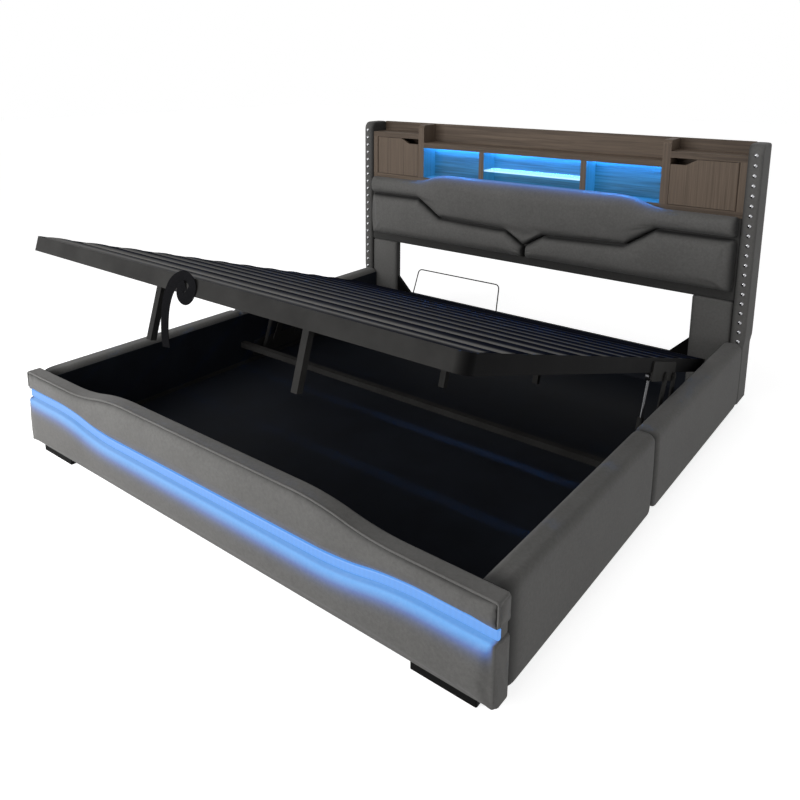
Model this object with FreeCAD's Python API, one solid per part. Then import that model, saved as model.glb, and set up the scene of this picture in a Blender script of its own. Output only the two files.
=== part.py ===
import FreeCAD, Part
import math
import os

V = FreeCAD.Vector

# Driving dimensions, millimetres. Heights are above the floor, y is measured from the
# front of the footboard towards the head end, x is across the bed from its middle.
mattress_width = 1930.0
mattress_length = 2032.0
side_room = 10.0
floor_gap = 38.0
rail_top = 320.0
rail_thick = 77.0
side_step = 8.0
head_height = 1183.0
head_depth = 142.0

half_well = mattress_width / 2 + side_room
half_rail = half_well + rail_thick
half_bed = half_rail + side_step

# Footboard: an upholstered core with two pads in front and a lit groove between them.
foot_thick = 54.0
foot_pad = 20.0
foot_edge = 11.0
foot_reach = 26.0
core_inset = 5.0
core_soft = 8.0
return_bite = 4.0
foot_core_half = half_bed - core_inset
foot_hump = 39.0
hump_inner = 400.0
hump_outer = 770.0
groove_drop = 75.0
groove_end = rail_top - groove_drop
groove_dip = 37.0
dip_inner = 475.0
dip_outer = 860.0
groove_tall = 26.0
light_tall = 10.0
light_thick = 4.0
block_wide = 197.0
block_edge = 60.0
block_set = 6.0
block_back = 2.0
block_round = 3.0

# Side rails, lining and storage floor.
rail_soft = 18.0
end_soft = 5.0
rail_corner = 45.0
split_shift = 33.0
liner_thick = 4.0
foot_liner = 3.0
liner_drop = 20.0
liner_top = rail_top - liner_drop
half_inside = half_well - liner_thick
ledger_wall = 3.0
ledger_reach = 30.0
floor_thick = 9.0
bar_wide = 30.0
bar_tall = 25.0
bar_low = 140.0
bearer_wide = 40.0
bearer_short = 91.0
bearer_half = half_inside - bearer_short

# Headboard.
wing_front = foot_thick + mattress_length
bed_length = wing_front + head_depth
wing_thick = 60.0
half_shelf = half_bed - wing_thick
wing_soft = 12.0
wing_corner = 40.0
wing_back_corner = 18.0
stud_count = 20
stud_sides = 8
stud_over_rail = 11.0
stud_under_top = 46.0
stud_out = 3.0
stud_base = 9.0
stud_tall = 5.0
shelf_tall = 318.0
panel_tall = 366.0
panel_set = 7.0
panel_thick = 47.0
panel_soft = 10.0
panel_front = wing_front + panel_set
panel_high = head_height - shelf_tall
panel_low = panel_high - panel_tall
pad_deep = 47.0
pad_side = 12.0
pad_lift = 46.0
pad_over = 8.0
pad_half = half_shelf - pad_side
pad_low = panel_low + pad_lift
pad_end_top = panel_high + pad_over
pad_hump = 46.0
pad_hump_inner = 470.0
pad_hump_outer = 700.0
pad_edge = 20.0
pad_reach = 42.0
lower_edge = 16.0
lower_reach = 24.0
seam = 11.0
knee_outer = 655.0
knee_middle = 515.0
knee_inner = 105.0
seam_end_drop = 78.0
seam_step_drop = 173.0
seam_mid_drop = 187.0
seam_tip_rise = 67.0
seam_end = panel_high - seam_end_drop
seam_step = panel_high - seam_step_drop
seam_mid = panel_high - seam_mid_drop
seam_tip = pad_low + seam_tip_rise
leg_wide = 175.0
leg_inner = half_shelf - leg_wide
cross_set = 15.0
cross_thick = 18.0
cross_top = 210.0
gusset = 86.0

# Shelf unit on top of the headboard.
board = 28.0
shelf_set = 14.0
shelf_front = wing_front + shelf_set
back_thick = 16.0
shelf_rear = bed_length - back_thick
shelf_floor = panel_high + board
cabinet_wide = 316.0
tall_thick = 36.0
tall_drop = 3.0
tall_round = 20.0
tall_outer = half_shelf - cabinet_wide
tall_inner = tall_outer - tall_thick
short_inner = 267.0
centre_tall = 164.0
centre_under = shelf_floor + centre_tall
cabinet_tall = 209.0
cabinet_under = shelf_floor + cabinet_tall
glass_rise = 66.0
glass_set = 8.0
glass_thick = 8.0
glass_low = shelf_floor + glass_rise
strip_wide = 10.0
strip_tall = 5.0
door_thick = 18.0
door_gap = 2.0
hinge_gap = 1.0
notch_deep = 27.0
notch_flat = 64.0
notch_slope = 50.0
pin_radius = 3.0
pin_play = 0.2
pin_long = 11.0

# Lifting platform, drawn flat and then set at its raised angle.
tilt = math.radians(17.53)
platform_gap = 26.0
platform_short = 42.0
half_platform = half_well - platform_gap
platform_length = mattress_length - platform_short
head_back = 180.4
head_rise = 229.7
foot_room = 20.0
closed_height = 250.0
raised_foot = (wing_front - head_back - platform_length * math.cos(tilt),
               head_rise + platform_length * math.sin(tilt))
closed_foot = (foot_thick + foot_room, closed_height)
frame_tall = 53.0
sheet = 3.0
flange = 30.0
corner_radius = 35.0
corner_piece = 140.0
slat_count = 12
slat_gap = 24.0
slat_first = 31.0
slat_last = 9.5
slat_pitch = (platform_length - slat_first - slat_last + slat_gap) / slat_count
slat_tall = 14.0
slat_proud = 3.0
slat_crown = 5.0
slat_steps = 6
slat_sheet = 1.2
slat_inset = 4.0
beam_x = 343.0
beam_wide = 40.0
beam_tall = 40.0
beam_sheet = 2.0
leg_tube = 24.0
leg_wall = 2.0
leg_rows = 3
leg_first = 150.0
leg_last = 280.0
leg_pitch = (platform_length - leg_first - leg_last) / (leg_rows - 1)
leg_clear = 1.0
strap_thick = 2.5
strap_wide = 40.0
strap_x = -40.0
strap_loop = 10.0
strap_play = 0.5
tail_start = 4.0
tail_out = 1.0
tail_shift = 62.0
tail_long = 186.0
bail_x = -300.0
bail_foot = 256.0
bail_top = 246.0
bail_tall = 135.0
bail_set = 25.0
bail_bend = 22.0
wire = 2.2
wire_sides = 6
boss = 9.0
boss_tall = 8.0

# Lift mechanism, one set on each side. Points on the platform are (along, height).
plate_thick = 5.0
plate_end = 40.0
plate_under = 18.0
plate_over = 30.0
plate_round = 14.0
arm_thick = 6.0
arm_half = 17.0
arm_to_plate = 3.0
bracket_thick = 6.0
bracket_end = 24.0
bracket_drop = 12.0
bracket_round = 12.0
pivot = 6.8
pivot_play = 0.3
collar = 12.0
pin_head = 2.0
face_play = 0.4
pin_drop = 14.0
front_from_head = 550.0
rear_from_head = 450.0
strut_from_head = 670.0
arm_pivot_z = 120.0
rear_pin = 5.0
rear_play = 5.0
base_from_wing = 946.0
base_height = 90.0
strut_in = 30.0
strut_pin = 5.0
strut_nut = 3.0
strut_play = 10.0
barrel = 11.0
barrel_long = 200.0
barrel_floor = 30.0
barrel_start = 8.0
rod = 5.0
rod_play = 0.4
rod_end = 120.0
rod_bite = 2.0
eye_half = 6.0
low_eye_wall = 6.0
high_eye_wall = 4.0
rear_nut = 3.0

front_point = (platform_length - front_from_head, -pin_drop)
rear_point = (platform_length - rear_from_head, -pin_drop)
strut_point = (platform_length - strut_from_head, -pin_drop)
strut_base = (wing_front - base_from_wing, base_height)
half_plate = half_inside - plate_thick
strut_x = half_plate - strut_in
arm_outer = half_plate - arm_to_plate
arm_inner = arm_outer - arm_thick
bracket_outer = half_platform + bracket_thick

os.makedirs("parts", exist_ok=True)


def keep(name, *solids):
    """Write one named piece, moved so that the bed's middle is over the origin."""
    shape = solids[0] if len(solids) == 1 else Part.makeCompound(list(solids))
    shape = shape.copy()
    shape.translate(V(0, -bed_length / 2, 0))
    shape.exportStep("parts/" + name + ".step")


def box(x0, x1, y0, y1, z0, z1):
    """Box between two corners, given in any order."""
    low = V(min(x0, x1), min(y0, y1), min(z0, z1))
    return Part.makeBox(abs(x1 - x0), abs(y1 - y0), abs(z1 - z0), low)


def mirrored(shape):
    """The same piece on the other side of the bed."""
    return shape.mirror(V(0, 0, 0), V(1, 0, 0))


def edges_along(shape, axis):
    """Straight edges that run along one axis."""
    found = []
    for edge in shape.Edges:
        a, b = edge.Vertexes[0].Point, edge.Vertexes[-1].Point
        span = [abs(b.x - a.x), abs(b.y - a.y), abs(b.z - a.z)]
        if span[axis] > 0.5 and sum(span) - span[axis] < 1e-6:
            found.append(edge)
    return found


def side_board(x0, x1, y0, y1, z0, z1, rounded):
    """Board that stands along the bed. Corners of its side view, as (y, z, radius), are rounded."""
    board_solid = box(x0, x1, y0, y1, z0, z1)
    for y, z, radius in rounded:
        spot = [e for e in edges_along(board_solid, 0)
                if abs(e.BoundBox.YMin - y) < 1e-3 and abs(e.BoundBox.ZMin - z) < 1e-3]
        board_solid = board_solid.makeFillet(radius, spot)
    return board_solid


def outline_edges(shape, axis, place):
    """Edges that lie in the plane at one place on an axis."""
    found = []
    for edge in shape.Edges:
        spot = edge.BoundBox
        near = [spot.XMin, spot.YMin, spot.ZMin][axis]
        far = [spot.XMax, spot.YMax, spot.ZMax][axis]
        if abs(near - place) < 1e-3 and abs(far - place) < 1e-3:
            found.append(edge)
    return found


def path(points):
    """Edges in the x-z plane. A third value "s" draws an s-bend of two tangent arcs."""
    edges = []
    for start, end in zip(points, points[1:]):
        x0, z0, x1, z1 = start[0], start[1], end[0], end[1]
        if len(end) == 2:
            edges.append(Part.makeLine(V(x0, 0, z0), V(x1, 0, z1)))
            continue
        middle = V((x0 + x1) / 2, 0, (z0 + z1) / 2)
        radius = ((x1 - x0) ** 2 + (z1 - z0) ** 2) / (4 * abs(z1 - z0))
        half = math.atan2(abs(z1 - z0), abs(x1 - x0))
        over = math.copysign(radius * math.sin(half), x1 - x0)
        rise = math.copysign(radius * (1 - math.cos(half)), z1 - z0)
        first = Part.Arc(V(x0, 0, z0), V(x0 + over, 0, z0 + rise), middle)
        second = Part.Arc(middle, V(x1 - over, 0, z1 - rise), V(x1, 0, z1))
        edges += [first.toShape(), second.toShape()]
    return edges


def wave(half, end_z, middle_z, inner, outer):
    """Points of a line across the bed that bends between its ends and its middle."""
    points = [(half, end_z), (outer, end_z), (inner, middle_z, "s"), (-inner, middle_z)]
    return points + [(-outer, end_z, "s"), (-half, end_z)]


def backwards(points):
    """The same points from last to first, with each s-bend kept on its own span."""
    spans = [len(p) == 3 for p in points][1:]
    flipped = [points[-1][:2]]
    for point, bent in zip(points[-2::-1], spans[::-1]):
        flipped.append((point[0], point[1], "s") if bent else (point[0], point[1]))
    return flipped


def closed(points):
    """Closed wire through the points."""
    return Part.Wire(path(points + [points[0][:2]]))


def cushion(points, rear_y, sections):
    """Pad with crowned front: the outline drawn in by stated amounts on its way forward."""
    outline = closed(points)
    rings = []
    for forward, drawn_in in sections:
        ring = outline.copy()
        if drawn_in > 0:
            ring = outline.makeOffset2D(-drawn_in, 2)
        ring.translate(V(0, rear_y - forward, 0))
        rings.append(ring)
    return Part.makeLoft(rings, True, True)


def crown(deep, edge, reach):
    """Sections of a pad: drawn in at the back, full, then rounding over to a low crown."""
    rows = [(0.0, 0.3 * edge), (0.2 * deep, 0.0), (0.45 * deep, 0.06 * edge)]
    for step in range(1, 5):
        turn = math.radians(20 * step)
        rows.append((deep * (0.45 + 0.45 * math.sin(turn) / math.sin(math.radians(80))),
                     edge * (0.06 + 0.94 * (1 - math.cos(turn)) / (1 - math.cos(math.radians(80))))))
    rows.append((deep * 0.97, (edge + reach) / 2))
    rows.append((deep, reach))
    return rows


def slab(points, y0, y1):
    """Flat piece with an outline in the x-z plane."""
    face = Part.Face(closed(points))
    face.translate(V(0, y0, 0))
    return face.extrude(V(0, y1 - y0, 0))


def rod_x(x0, x1, y, z, radius):
    """Round pin along x."""
    return Part.makeCylinder(radius, abs(x1 - x0), V(min(x0, x1), y, z), V(1, 0, 0))


def ring_points(centre, first, second, radius, sides):
    """Corners of an even polygon in the plane of two directions, closed on itself."""
    turns = [2 * math.pi * index / sides for index in range(sides + 1)]
    return [centre + first * (radius * math.cos(t)) + second * (radius * math.sin(t)) for t in turns]


def nut_x(x0, x1, y, z, radius):
    """Hexagon head along x, its corners at the stated radius."""
    start = V(min(x0, x1), y, z)
    corners = ring_points(start, V(0, 1, 0), V(0, 0, 1), radius, 6)
    return Part.Face(Part.makePolygon(corners)).extrude(V(abs(x1 - x0), 0, 0))


def along_x(points, half):
    """Long piece with its section in the y-z plane, as far to the left as to the right."""
    corners = [V(-half, y, z) for y, z in points + points[:1]]
    return Part.Face(Part.makePolygon(corners)).extrude(V(2 * half, 0, 0))


# Footboard core, pads and lit strip.
foot_top = wave(foot_core_half, rail_top, rail_top + foot_hump, hump_inner, hump_outer)
core_outline = foot_top + [(-foot_core_half, floor_gap), (foot_core_half, floor_gap)]
core = slab(core_outline, foot_pad, foot_thick)
inner_top = [e for e in core.Edges if e.BoundBox.YMin > foot_thick - 1e-3
             and e.BoundBox.ZMin > rail_top - 1e-3]
core = core.makeFillet(core_soft, inner_top)
keep("footboard_core", core)

pad_top = wave(half_bed, rail_top, rail_top + foot_hump, hump_inner, hump_outer)
groove_top = wave(half_bed, groove_end, groove_end - groove_dip, dip_inner, dip_outer)
groove_low = wave(half_bed, groove_end - groove_tall, groove_end - groove_dip - groove_tall,
                  dip_inner, dip_outer)
foot_crown = crown(foot_pad, foot_edge, foot_reach)
upper_pad = cushion(pad_top + backwards(groove_top), foot_pad, foot_crown)
lower_outline = groove_low + [(-half_bed, floor_gap), (half_bed, floor_gap)]
lower_pad = cushion(lower_outline, foot_pad, foot_crown)


def with_returns(pad, z0, z1):
    """Pad with a thin return at each end, which covers the end of the core."""
    end = box(foot_core_half, half_bed, foot_pad - return_bite, foot_thick, z0, z1)
    return pad.fuse(end).fuse(mirrored(end)).removeSplitter()


keep("footboard_upper_pad", with_returns(upper_pad, groove_end, rail_top))
keep("footboard_lower_pad", with_returns(lower_pad, floor_gap, groove_end - groove_tall))

light_side = (groove_tall - light_tall) / 2
light_top = wave(foot_core_half, groove_end - light_side, groove_end - groove_dip - light_side,
                 dip_inner, dip_outer)
light_low = [(p[0], p[1] - light_tall) + tuple(p[2:]) for p in light_top]
keep("footboard_light_strip", slab(light_top + backwards(light_low), foot_pad - light_thick, foot_pad))
keep("footboard_liner", box(-half_inside, half_inside, foot_thick, foot_thick + foot_liner,
                            floor_gap + floor_thick, liner_top))
block_outer = half_bed - block_edge
block = box(block_outer - block_wide, block_outer, foot_pad - block_set, foot_thick - block_back,
            0.0, floor_gap)
block = block.makeChamfer(block_round, edges_along(block, 2))
keep("front_feet", block, mirrored(block))

# Side rails in two lengths, their lining, and the storage floor.
rail_split = (foot_thick + wing_front) / 2 - split_shift
for side, flip in (("right", False), ("left", True)):
    for place, y0, y1 in (("front", foot_thick, rail_split), ("rear", rail_split, wing_front)):
        lower_corners = [(y0, floor_gap, rail_corner), (y1, floor_gap, rail_corner)]
        rail = side_board(half_well, half_rail, y0, y1, floor_gap, rail_top, lower_corners)
        upper = [e for e in edges_along(rail, 1) if e.BoundBox.ZMin > rail_top - 1.0]
        rail = rail.makeFillet(rail_soft, upper)
        rail = rail.makeChamfer(end_soft, outline_edges(rail, 1, y0) + outline_edges(rail, 1, y1))
        keep(side + "_" + place + "_rail", mirrored(rail) if flip else rail)
    liner = box(half_inside, half_well, foot_thick + foot_liner, wing_front, floor_gap + rail_soft,
                liner_top)
    keep(side + "_rail_liner", mirrored(liner) if flip else liner)

bar_y = rail_split
keep("mid_cross_bar", box(-half_inside, half_inside, bar_y - bar_wide / 2, bar_y + bar_wide / 2,
                          bar_low, bar_low + bar_tall))
ledger_y0 = foot_thick + foot_liner
ledger_low = floor_gap - ledger_wall
ledger = box(half_inside - ledger_wall, half_inside, ledger_y0, wing_front, ledger_low,
             ledger_low + ledger_reach)
ledger = ledger.fuse(box(half_inside - ledger_reach, half_inside, ledger_y0, wing_front,
                         ledger_low, floor_gap))
ledger = ledger.removeSplitter()
keep("floor_ledgers", ledger, mirrored(ledger))
half_floor = half_inside - ledger_wall
floor_top = floor_gap + floor_thick
for name, y0, y1 in (("front", ledger_y0, rail_split), ("rear", rail_split, panel_front)):
    keep(name + "_floor_panel", box(-half_floor, half_floor, y0, y1, floor_gap, floor_top))
bearers = []
for spot in (0.25, 0.5, 0.75):
    y = ledger_y0 + spot * (panel_front - ledger_y0)
    bearers.append(box(-bearer_half, bearer_half, y - bearer_wide / 2, y + bearer_wide / 2, 0.0, floor_gap))
keep("floor_bearers", *bearers)

# Headboard: wings with round studs, backing panel, three pads, legs and lower cross panel.
wing = side_board(half_shelf, half_bed, wing_front, bed_length, floor_gap, head_height,
                  [(wing_front, head_height, wing_corner), (bed_length, head_height, wing_back_corner)])
wing = wing.makeChamfer(wing_soft / 2, outline_edges(wing, 0, half_shelf) + outline_edges(wing, 0, half_bed))
keep("right_wing", wing)
keep("left_wing", mirrored(wing))
stud_x = (half_shelf + half_bed) / 2 + stud_out
stud_low = rail_top + stud_over_rail
stud_pitch = (head_height - stud_under_top - stud_low) / (stud_count - 1)
dome_turns = [math.radians(angle) for angle in (0, 40, 70)]
studs = []
for index in range(stud_count):
    rings = []
    for turn in dome_turns:
        forward = stud_tall * math.sin(turn) / math.sin(dome_turns[-1])
        centre = V(stud_x, wing_front - forward, stud_low + index * stud_pitch)
        rings.append(ring_points(centre, V(1, 0, 0), V(0, 0, 1), stud_base * math.cos(turn), stud_sides))
    faces = [Part.Face(Part.makePolygon(ring)) for ring in (rings[0], rings[-1])]
    for low, high in zip(rings, rings[1:]):
        for k in range(stud_sides):
            faces.append(Part.Face(Part.makePolygon([low[k], low[k + 1], high[k + 1], high[k], low[k]])))
    studs.append(Part.makeSolid(Part.makeShell(faces)))
keep("right_wing_studs", *studs)
keep("left_wing_studs", *[mirrored(stud) for stud in studs])

panel = box(-half_shelf, half_shelf, panel_front, panel_front + panel_thick, panel_low, panel_high)
front_low_edge = [e for e in edges_along(panel, 0) if e.BoundBox.ZMax < panel_low + 1.0
                  and e.BoundBox.YMax < panel_front + 1.0]
keep("headboard_panel", panel.makeFillet(panel_soft, front_low_edge))
upper_top = wave(pad_half, pad_end_top, pad_end_top + pad_hump, pad_hump_inner, pad_hump_outer)
knees = [(pad_half, seam_end), (knee_outer, seam_end), (knee_middle, seam_step), (knee_inner, seam_mid)]
left_knees = [(-x, z) for x, z in knees]
upper_crown = crown(pad_deep, pad_edge, pad_reach)
lower_crown = crown(pad_deep, lower_edge, lower_reach)
upper_outline = upper_top + left_knees + [(0.0, seam_tip)] + knees[::-1]
keep("headboard_upper_pad", cushion(upper_outline, panel_front, upper_crown))
lower = [(pad_half, seam_end - seam), (knee_outer + 0.3 * seam, seam_end - seam)]
lower += [(knee_middle + 0.5 * seam, seam_step - seam), (knee_inner + 0.35 * seam, seam_mid - seam)]
lower += [(0.5 * seam, seam_tip - 1.2 * seam), (0.5 * seam, pad_low), (pad_half, pad_low)]
lower_pad = cushion(lower, panel_front, lower_crown)
keep("headboard_lower_right_pad", lower_pad)
keep("headboard_lower_left_pad", mirrored(lower_pad))

head_leg = box(leg_inner, half_shelf, panel_front, panel_front + panel_thick, 0.0, panel_low)
inner_edges = [e for e in edges_along(head_leg, 2) if e.BoundBox.XMax < leg_inner + 1.0]
head_leg = head_leg.makeFillet(panel_soft, inner_edges)
keep("right_headboard_leg", head_leg)
keep("left_headboard_leg", mirrored(head_leg))
cross_y = panel_front + cross_set
keep("head_cross_panel", box(-leg_inner, leg_inner, cross_y, cross_y + cross_thick, floor_gap, cross_top))
brace = slab([(leg_inner, cross_top), (leg_inner, cross_top + gusset), (leg_inner - gusset, cross_top)],
             cross_y, cross_y + cross_thick)
keep("corner_gussets", brace, mirrored(brace))

# Shelf unit: back board, floor, uprights, tops, doors, glass shelf and light strips.
keep("shelf_back_board", box(-half_shelf, half_shelf, shelf_rear, bed_length, panel_high, head_height))
keep("shelf_floor_board", box(-half_shelf, half_shelf, shelf_front, shelf_rear, panel_high, shelf_floor))
short_outer = short_inner + board
tall = box(tall_inner, tall_outer, shelf_front, shelf_rear, shelf_floor, head_height - tall_drop)
front_top = [e for e in edges_along(tall, 0) if e.BoundBox.YMax < shelf_front + 1.0
             and e.BoundBox.ZMin > shelf_floor + 1.0]
tall = tall.makeFillet(tall_round, front_top)
keep("tall_dividers", tall, mirrored(tall))
short = box(short_inner, short_outer, shelf_front, shelf_rear, shelf_floor, centre_under)
keep("short_dividers", short, mirrored(short))
keep("centre_top_board", box(-tall_inner, tall_inner, shelf_front, shelf_rear, centre_under,
                             centre_under + board))
side_inner = half_shelf - board
cabinet_side = box(side_inner, half_shelf, shelf_front, shelf_rear, shelf_floor, cabinet_under)
keep("cabinet_sides", cabinet_side, mirrored(cabinet_side))
cabinet_top = box(tall_outer, half_shelf, shelf_front, shelf_rear, cabinet_under, cabinet_under + board)
keep("right_cabinet_top", cabinet_top)
keep("left_cabinet_top", mirrored(cabinet_top))
keep("glass_shelf", box(-short_inner, short_inner, shelf_front + glass_set, shelf_rear, glass_low,
                        glass_low + glass_thick))
strip_y = shelf_rear - 2 * strip_wide
strips = []
for x0, x1 in ((-tall_inner, -short_outer), (-short_inner, short_inner), (short_outer, tall_inner)):
    strips.append(box(x0, x1, strip_y, strip_y + strip_wide, centre_under - strip_tall, centre_under))
keep("shelf_light_strips", *strips)

hinge_radius = door_thick / 2
hinge_x = side_inner - hinge_gap - hinge_radius
hinge_y = shelf_front + hinge_radius
door_low = shelf_floor + door_gap
door_high = cabinet_under - door_gap
door_edge = tall_outer + door_gap
notch_z = door_high - notch_deep
door_points = [(hinge_x, door_low), (hinge_x, door_high), (door_edge + notch_flat + notch_slope, door_high)]
door_points += [(door_edge + notch_flat, notch_z), (door_edge, notch_z), (door_edge, door_low)]
door = slab(door_points, shelf_front, shelf_front + door_thick)
door = door.fuse(Part.makeCylinder(hinge_radius, door_high - door_low, V(hinge_x, hinge_y, door_low)))
door = door.removeSplitter()
pin_hole = pin_radius + pin_play
for z in (door_low - 1.0, door_high - pin_long):
    door = door.cut(Part.makeCylinder(pin_hole, pin_long + 1.0, V(hinge_x, hinge_y, z)))
keep("right_door", door)
keep("left_door", mirrored(door))
low_pin = Part.makeCylinder(pin_radius, pin_long, V(hinge_x, hinge_y, shelf_floor))
high_pin = Part.makeCylinder(pin_radius, pin_long, V(hinge_x, hinge_y, cabinet_under - pin_long))
keep("door_hinge_pins", low_pin, high_pin, mirrored(low_pin), mirrored(high_pin))


# Linkage: where a platform point lies when raised and when closed, and the fixed pivot
# that is as far from the one as from the other.
def raised(point):
    """Place of a platform point in the raised position, as (y, z)."""
    along, up = point
    y = raised_foot[0] + along * math.cos(tilt) + up * math.sin(tilt)
    return y, raised_foot[1] - along * math.sin(tilt) + up * math.cos(tilt)


def shut(point):
    """Place of a platform point in the closed position, as (y, z)."""
    return closed_foot[0] + point[0], closed_foot[1] + point[1]


def fixed_pivot(point):
    """Lower pivot of an arm at the stated height."""
    y0, z0 = raised(point)
    y1, z1 = shut(point)
    y = (y0 + y1) / 2 + (arm_pivot_z - (z0 + z1) / 2) * (z1 - z0) / (y0 - y1)
    return y, arm_pivot_z


def turn_between(point, centre):
    """Angle, in degrees, that an arm or strut turns from raised to closed."""
    y0, z0 = raised(point)
    y1, z1 = shut(point)
    first = math.atan2(z0 - centre[1], y0 - centre[0])
    return math.degrees(math.atan2(z1 - centre[1], y1 - centre[0]) - first)


def as_raised(shape):
    """Set a piece drawn on the flat platform at the raised angle."""
    shape = shape.copy()
    shape.rotate(V(0, 0, 0), V(1, 0, 0), -math.degrees(tilt))
    shape.translate(V(0, raised_foot[0], raised_foot[1]))
    return shape


def arm(low, high, x0, x1, low_hole, high_hole):
    """Flat link with round ends between two (y, z) points."""
    dy, dz = high[0] - low[0], high[1] - low[1]
    long = math.hypot(dy, dz)
    link = Part.makeBox(x1 - x0, long, 2 * arm_half, V(x0, 0, -arm_half))
    for spot in (0, long):
        link = link.fuse(rod_x(x0, x1, spot, 0, arm_half))
    link = link.removeSplitter()
    for spot, hole in ((0, low_hole), (long, high_hole)):
        link = link.cut(rod_x(x0 - 1, x1 + 1, spot, 0, hole))
    link.rotate(V(0, 0, 0), V(1, 0, 0), math.degrees(math.atan2(dz, dy)))
    link.translate(V(0, low[0], low[1]))
    return link


front_low, rear_low = fixed_pivot(front_point), fixed_pivot(rear_point)
front_high, rear_high, strut_high = raised(front_point), raised(rear_point), raised(strut_point)
hole = pivot + pivot_play
plate = box(half_plate, half_inside, strut_base[0] - plate_end, rear_low[0] + plate_end,
            strut_base[1] - plate_under, arm_pivot_z + plate_over)
plate = plate.makeFillet(plate_round, edges_along(plate, 0))
nut_face = arm_inner - face_play
for low in (front_low, rear_low):
    plate = plate.fuse(rod_x(arm_outer + face_play, half_plate, low[0], low[1], collar))
    plate = plate.fuse(rod_x(nut_face, half_plate, low[0], low[1], pivot))
    plate = plate.fuse(nut_x(nut_face - pin_head, nut_face, low[0], low[1], collar))
strut_head = strut_x - eye_half - face_play
base_y, base_z = strut_base
plate = plate.fuse(rod_x(strut_head, half_plate, base_y, base_z, strut_pin))
plate = plate.fuse(nut_x(strut_head - pin_head, strut_head, base_y, base_z, strut_pin + strut_nut))
keep("right_lift_plate", plate)
keep("left_lift_plate", mirrored(plate))

front_arm = arm(front_low, front_high, arm_inner, arm_outer, hole, hole)
rear_arm = arm(rear_low, rear_high, arm_inner, arm_outer, hole, rear_pin + rear_play)
keep("right_front_arm", front_arm)
keep("left_front_arm", mirrored(front_arm))
keep("right_rear_arm", rear_arm)
keep("left_rear_arm", mirrored(rear_arm))

# Gas struts, drawn upright along z and then leaned to their raised angle.
strut_long = math.hypot(strut_high[0] - strut_base[0], strut_high[1] - strut_base[1])
strut_shut = math.hypot(shut(strut_point)[0] - strut_base[0], shut(strut_point)[1] - strut_base[1])
strut_lean = math.degrees(math.atan2(strut_high[0] - strut_base[0], strut_high[1] - strut_base[1]))


def leaned(shape):
    """Set a strut piece on its lower pivot at the raised lean."""
    shape.rotate(V(0, 0, 0), V(1, 0, 0), -strut_lean)
    shape.translate(V(0, strut_base[0], strut_base[1]))
    return shape


low_eye = rod_x(strut_x - eye_half, strut_x + eye_half, 0, 0, strut_pin + low_eye_wall)
tube = Part.makeCylinder(barrel, barrel_long - barrel_start, V(strut_x, 0, barrel_start)).fuse(low_eye)
tube = tube.cut(Part.makeCylinder(rod + rod_play, barrel_long, V(strut_x, 0, barrel_floor)))
eye_cut = eye_half + 1.0
tube = leaned(tube.cut(rod_x(strut_x - eye_cut, strut_x + eye_cut, 0, 0, strut_pin + pivot_play)))
keep("strut_cylinders", tube, mirrored(tube))
eye_radius = strut_pin + strut_play + high_eye_wall
high_eye = rod_x(strut_x - eye_half, strut_x + eye_half, 0, strut_long, eye_radius)
rod_long = strut_long - rod_end - eye_radius + rod_bite
shaft = Part.makeCylinder(rod, rod_long, V(strut_x, 0, rod_end)).fuse(high_eye)
high_hole = rod_x(strut_x - eye_cut, strut_x + eye_cut, 0, strut_long, strut_pin + strut_play)
shaft = leaned(shaft.cut(high_hole))
keep("strut_rods", shaft, mirrored(shaft))


# Platform frame: pressed angle with rounded corners at the foot end, in four pieces.
def frame_outline(inset):
    """Plan of the platform with rounded foot corners, drawn in by an amount."""
    half, r = half_platform - inset, corner_radius - inset
    low, high = inset, platform_length - inset
    bend = r * (1 - math.sqrt(0.5))
    left_arc = Part.Arc(V(-half, low + r, 0), V(-half + bend, low + bend, 0), V(-half + r, low, 0))
    right_arc = Part.Arc(V(half - r, low, 0), V(half - bend, low + bend, 0), V(half, low + r, 0))
    corners = [V(half, low + r, 0), V(half, high, 0), V(-half, high, 0), V(-half, low + r, 0)]
    edges = [Part.makeLine(a, b) for a, b in zip(corners, corners[1:])]
    front = Part.makeLine(V(-half + r, low, 0), V(half - r, low, 0))
    edges += [left_arc.toShape(), front, right_arc.toShape()]
    return Part.Face(Part.Wire(edges))


wall = frame_outline(0).cut(frame_outline(sheet)).extrude(V(0, 0, frame_tall))
rim = frame_outline(0).cut(frame_outline(flange)).extrude(V(0, 0, sheet))
slat_top = frame_tall + slat_proud
ledge = slat_top - slat_tall
rim.translate(V(0, 0, ledge - sheet))
frame = wall.fuse(rim).removeSplitter()
strap_half = strap_wide / 2
slot_half = strap_half + strap_play
slot_end = strap_loop + strap_thick + strap_play
frame = frame.cut(box(strap_x - slot_half, strap_x + slot_half, strap_loop - strap_play, slot_end,
                      ledge - sheet - 1.0, ledge + 1.0))
head_join = platform_length - flange
for name, x0, x1, a0, a1 in (
        ("platform_foot_rail", -half_platform, half_platform, 0, corner_piece),
        ("platform_left_rail", -half_platform, 0, corner_piece, head_join),
        ("platform_right_rail", 0, half_platform, corner_piece, head_join),
        ("platform_head_rail", -half_platform, half_platform, head_join, platform_length)):
    keep(name, as_raised(frame.common(box(x0, x1, a0, a1, 0, frame_tall))))

# Slats: arched sheets with turned-down edges, which lie on the ledge inside the frame.
slat_wide = slat_pitch - slat_gap


def slat_fall(across):
    """How far the arch of a slat lies under its crown, at a fraction of the slat's width."""
    return slat_crown * (2 * across - 1) ** 2


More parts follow.
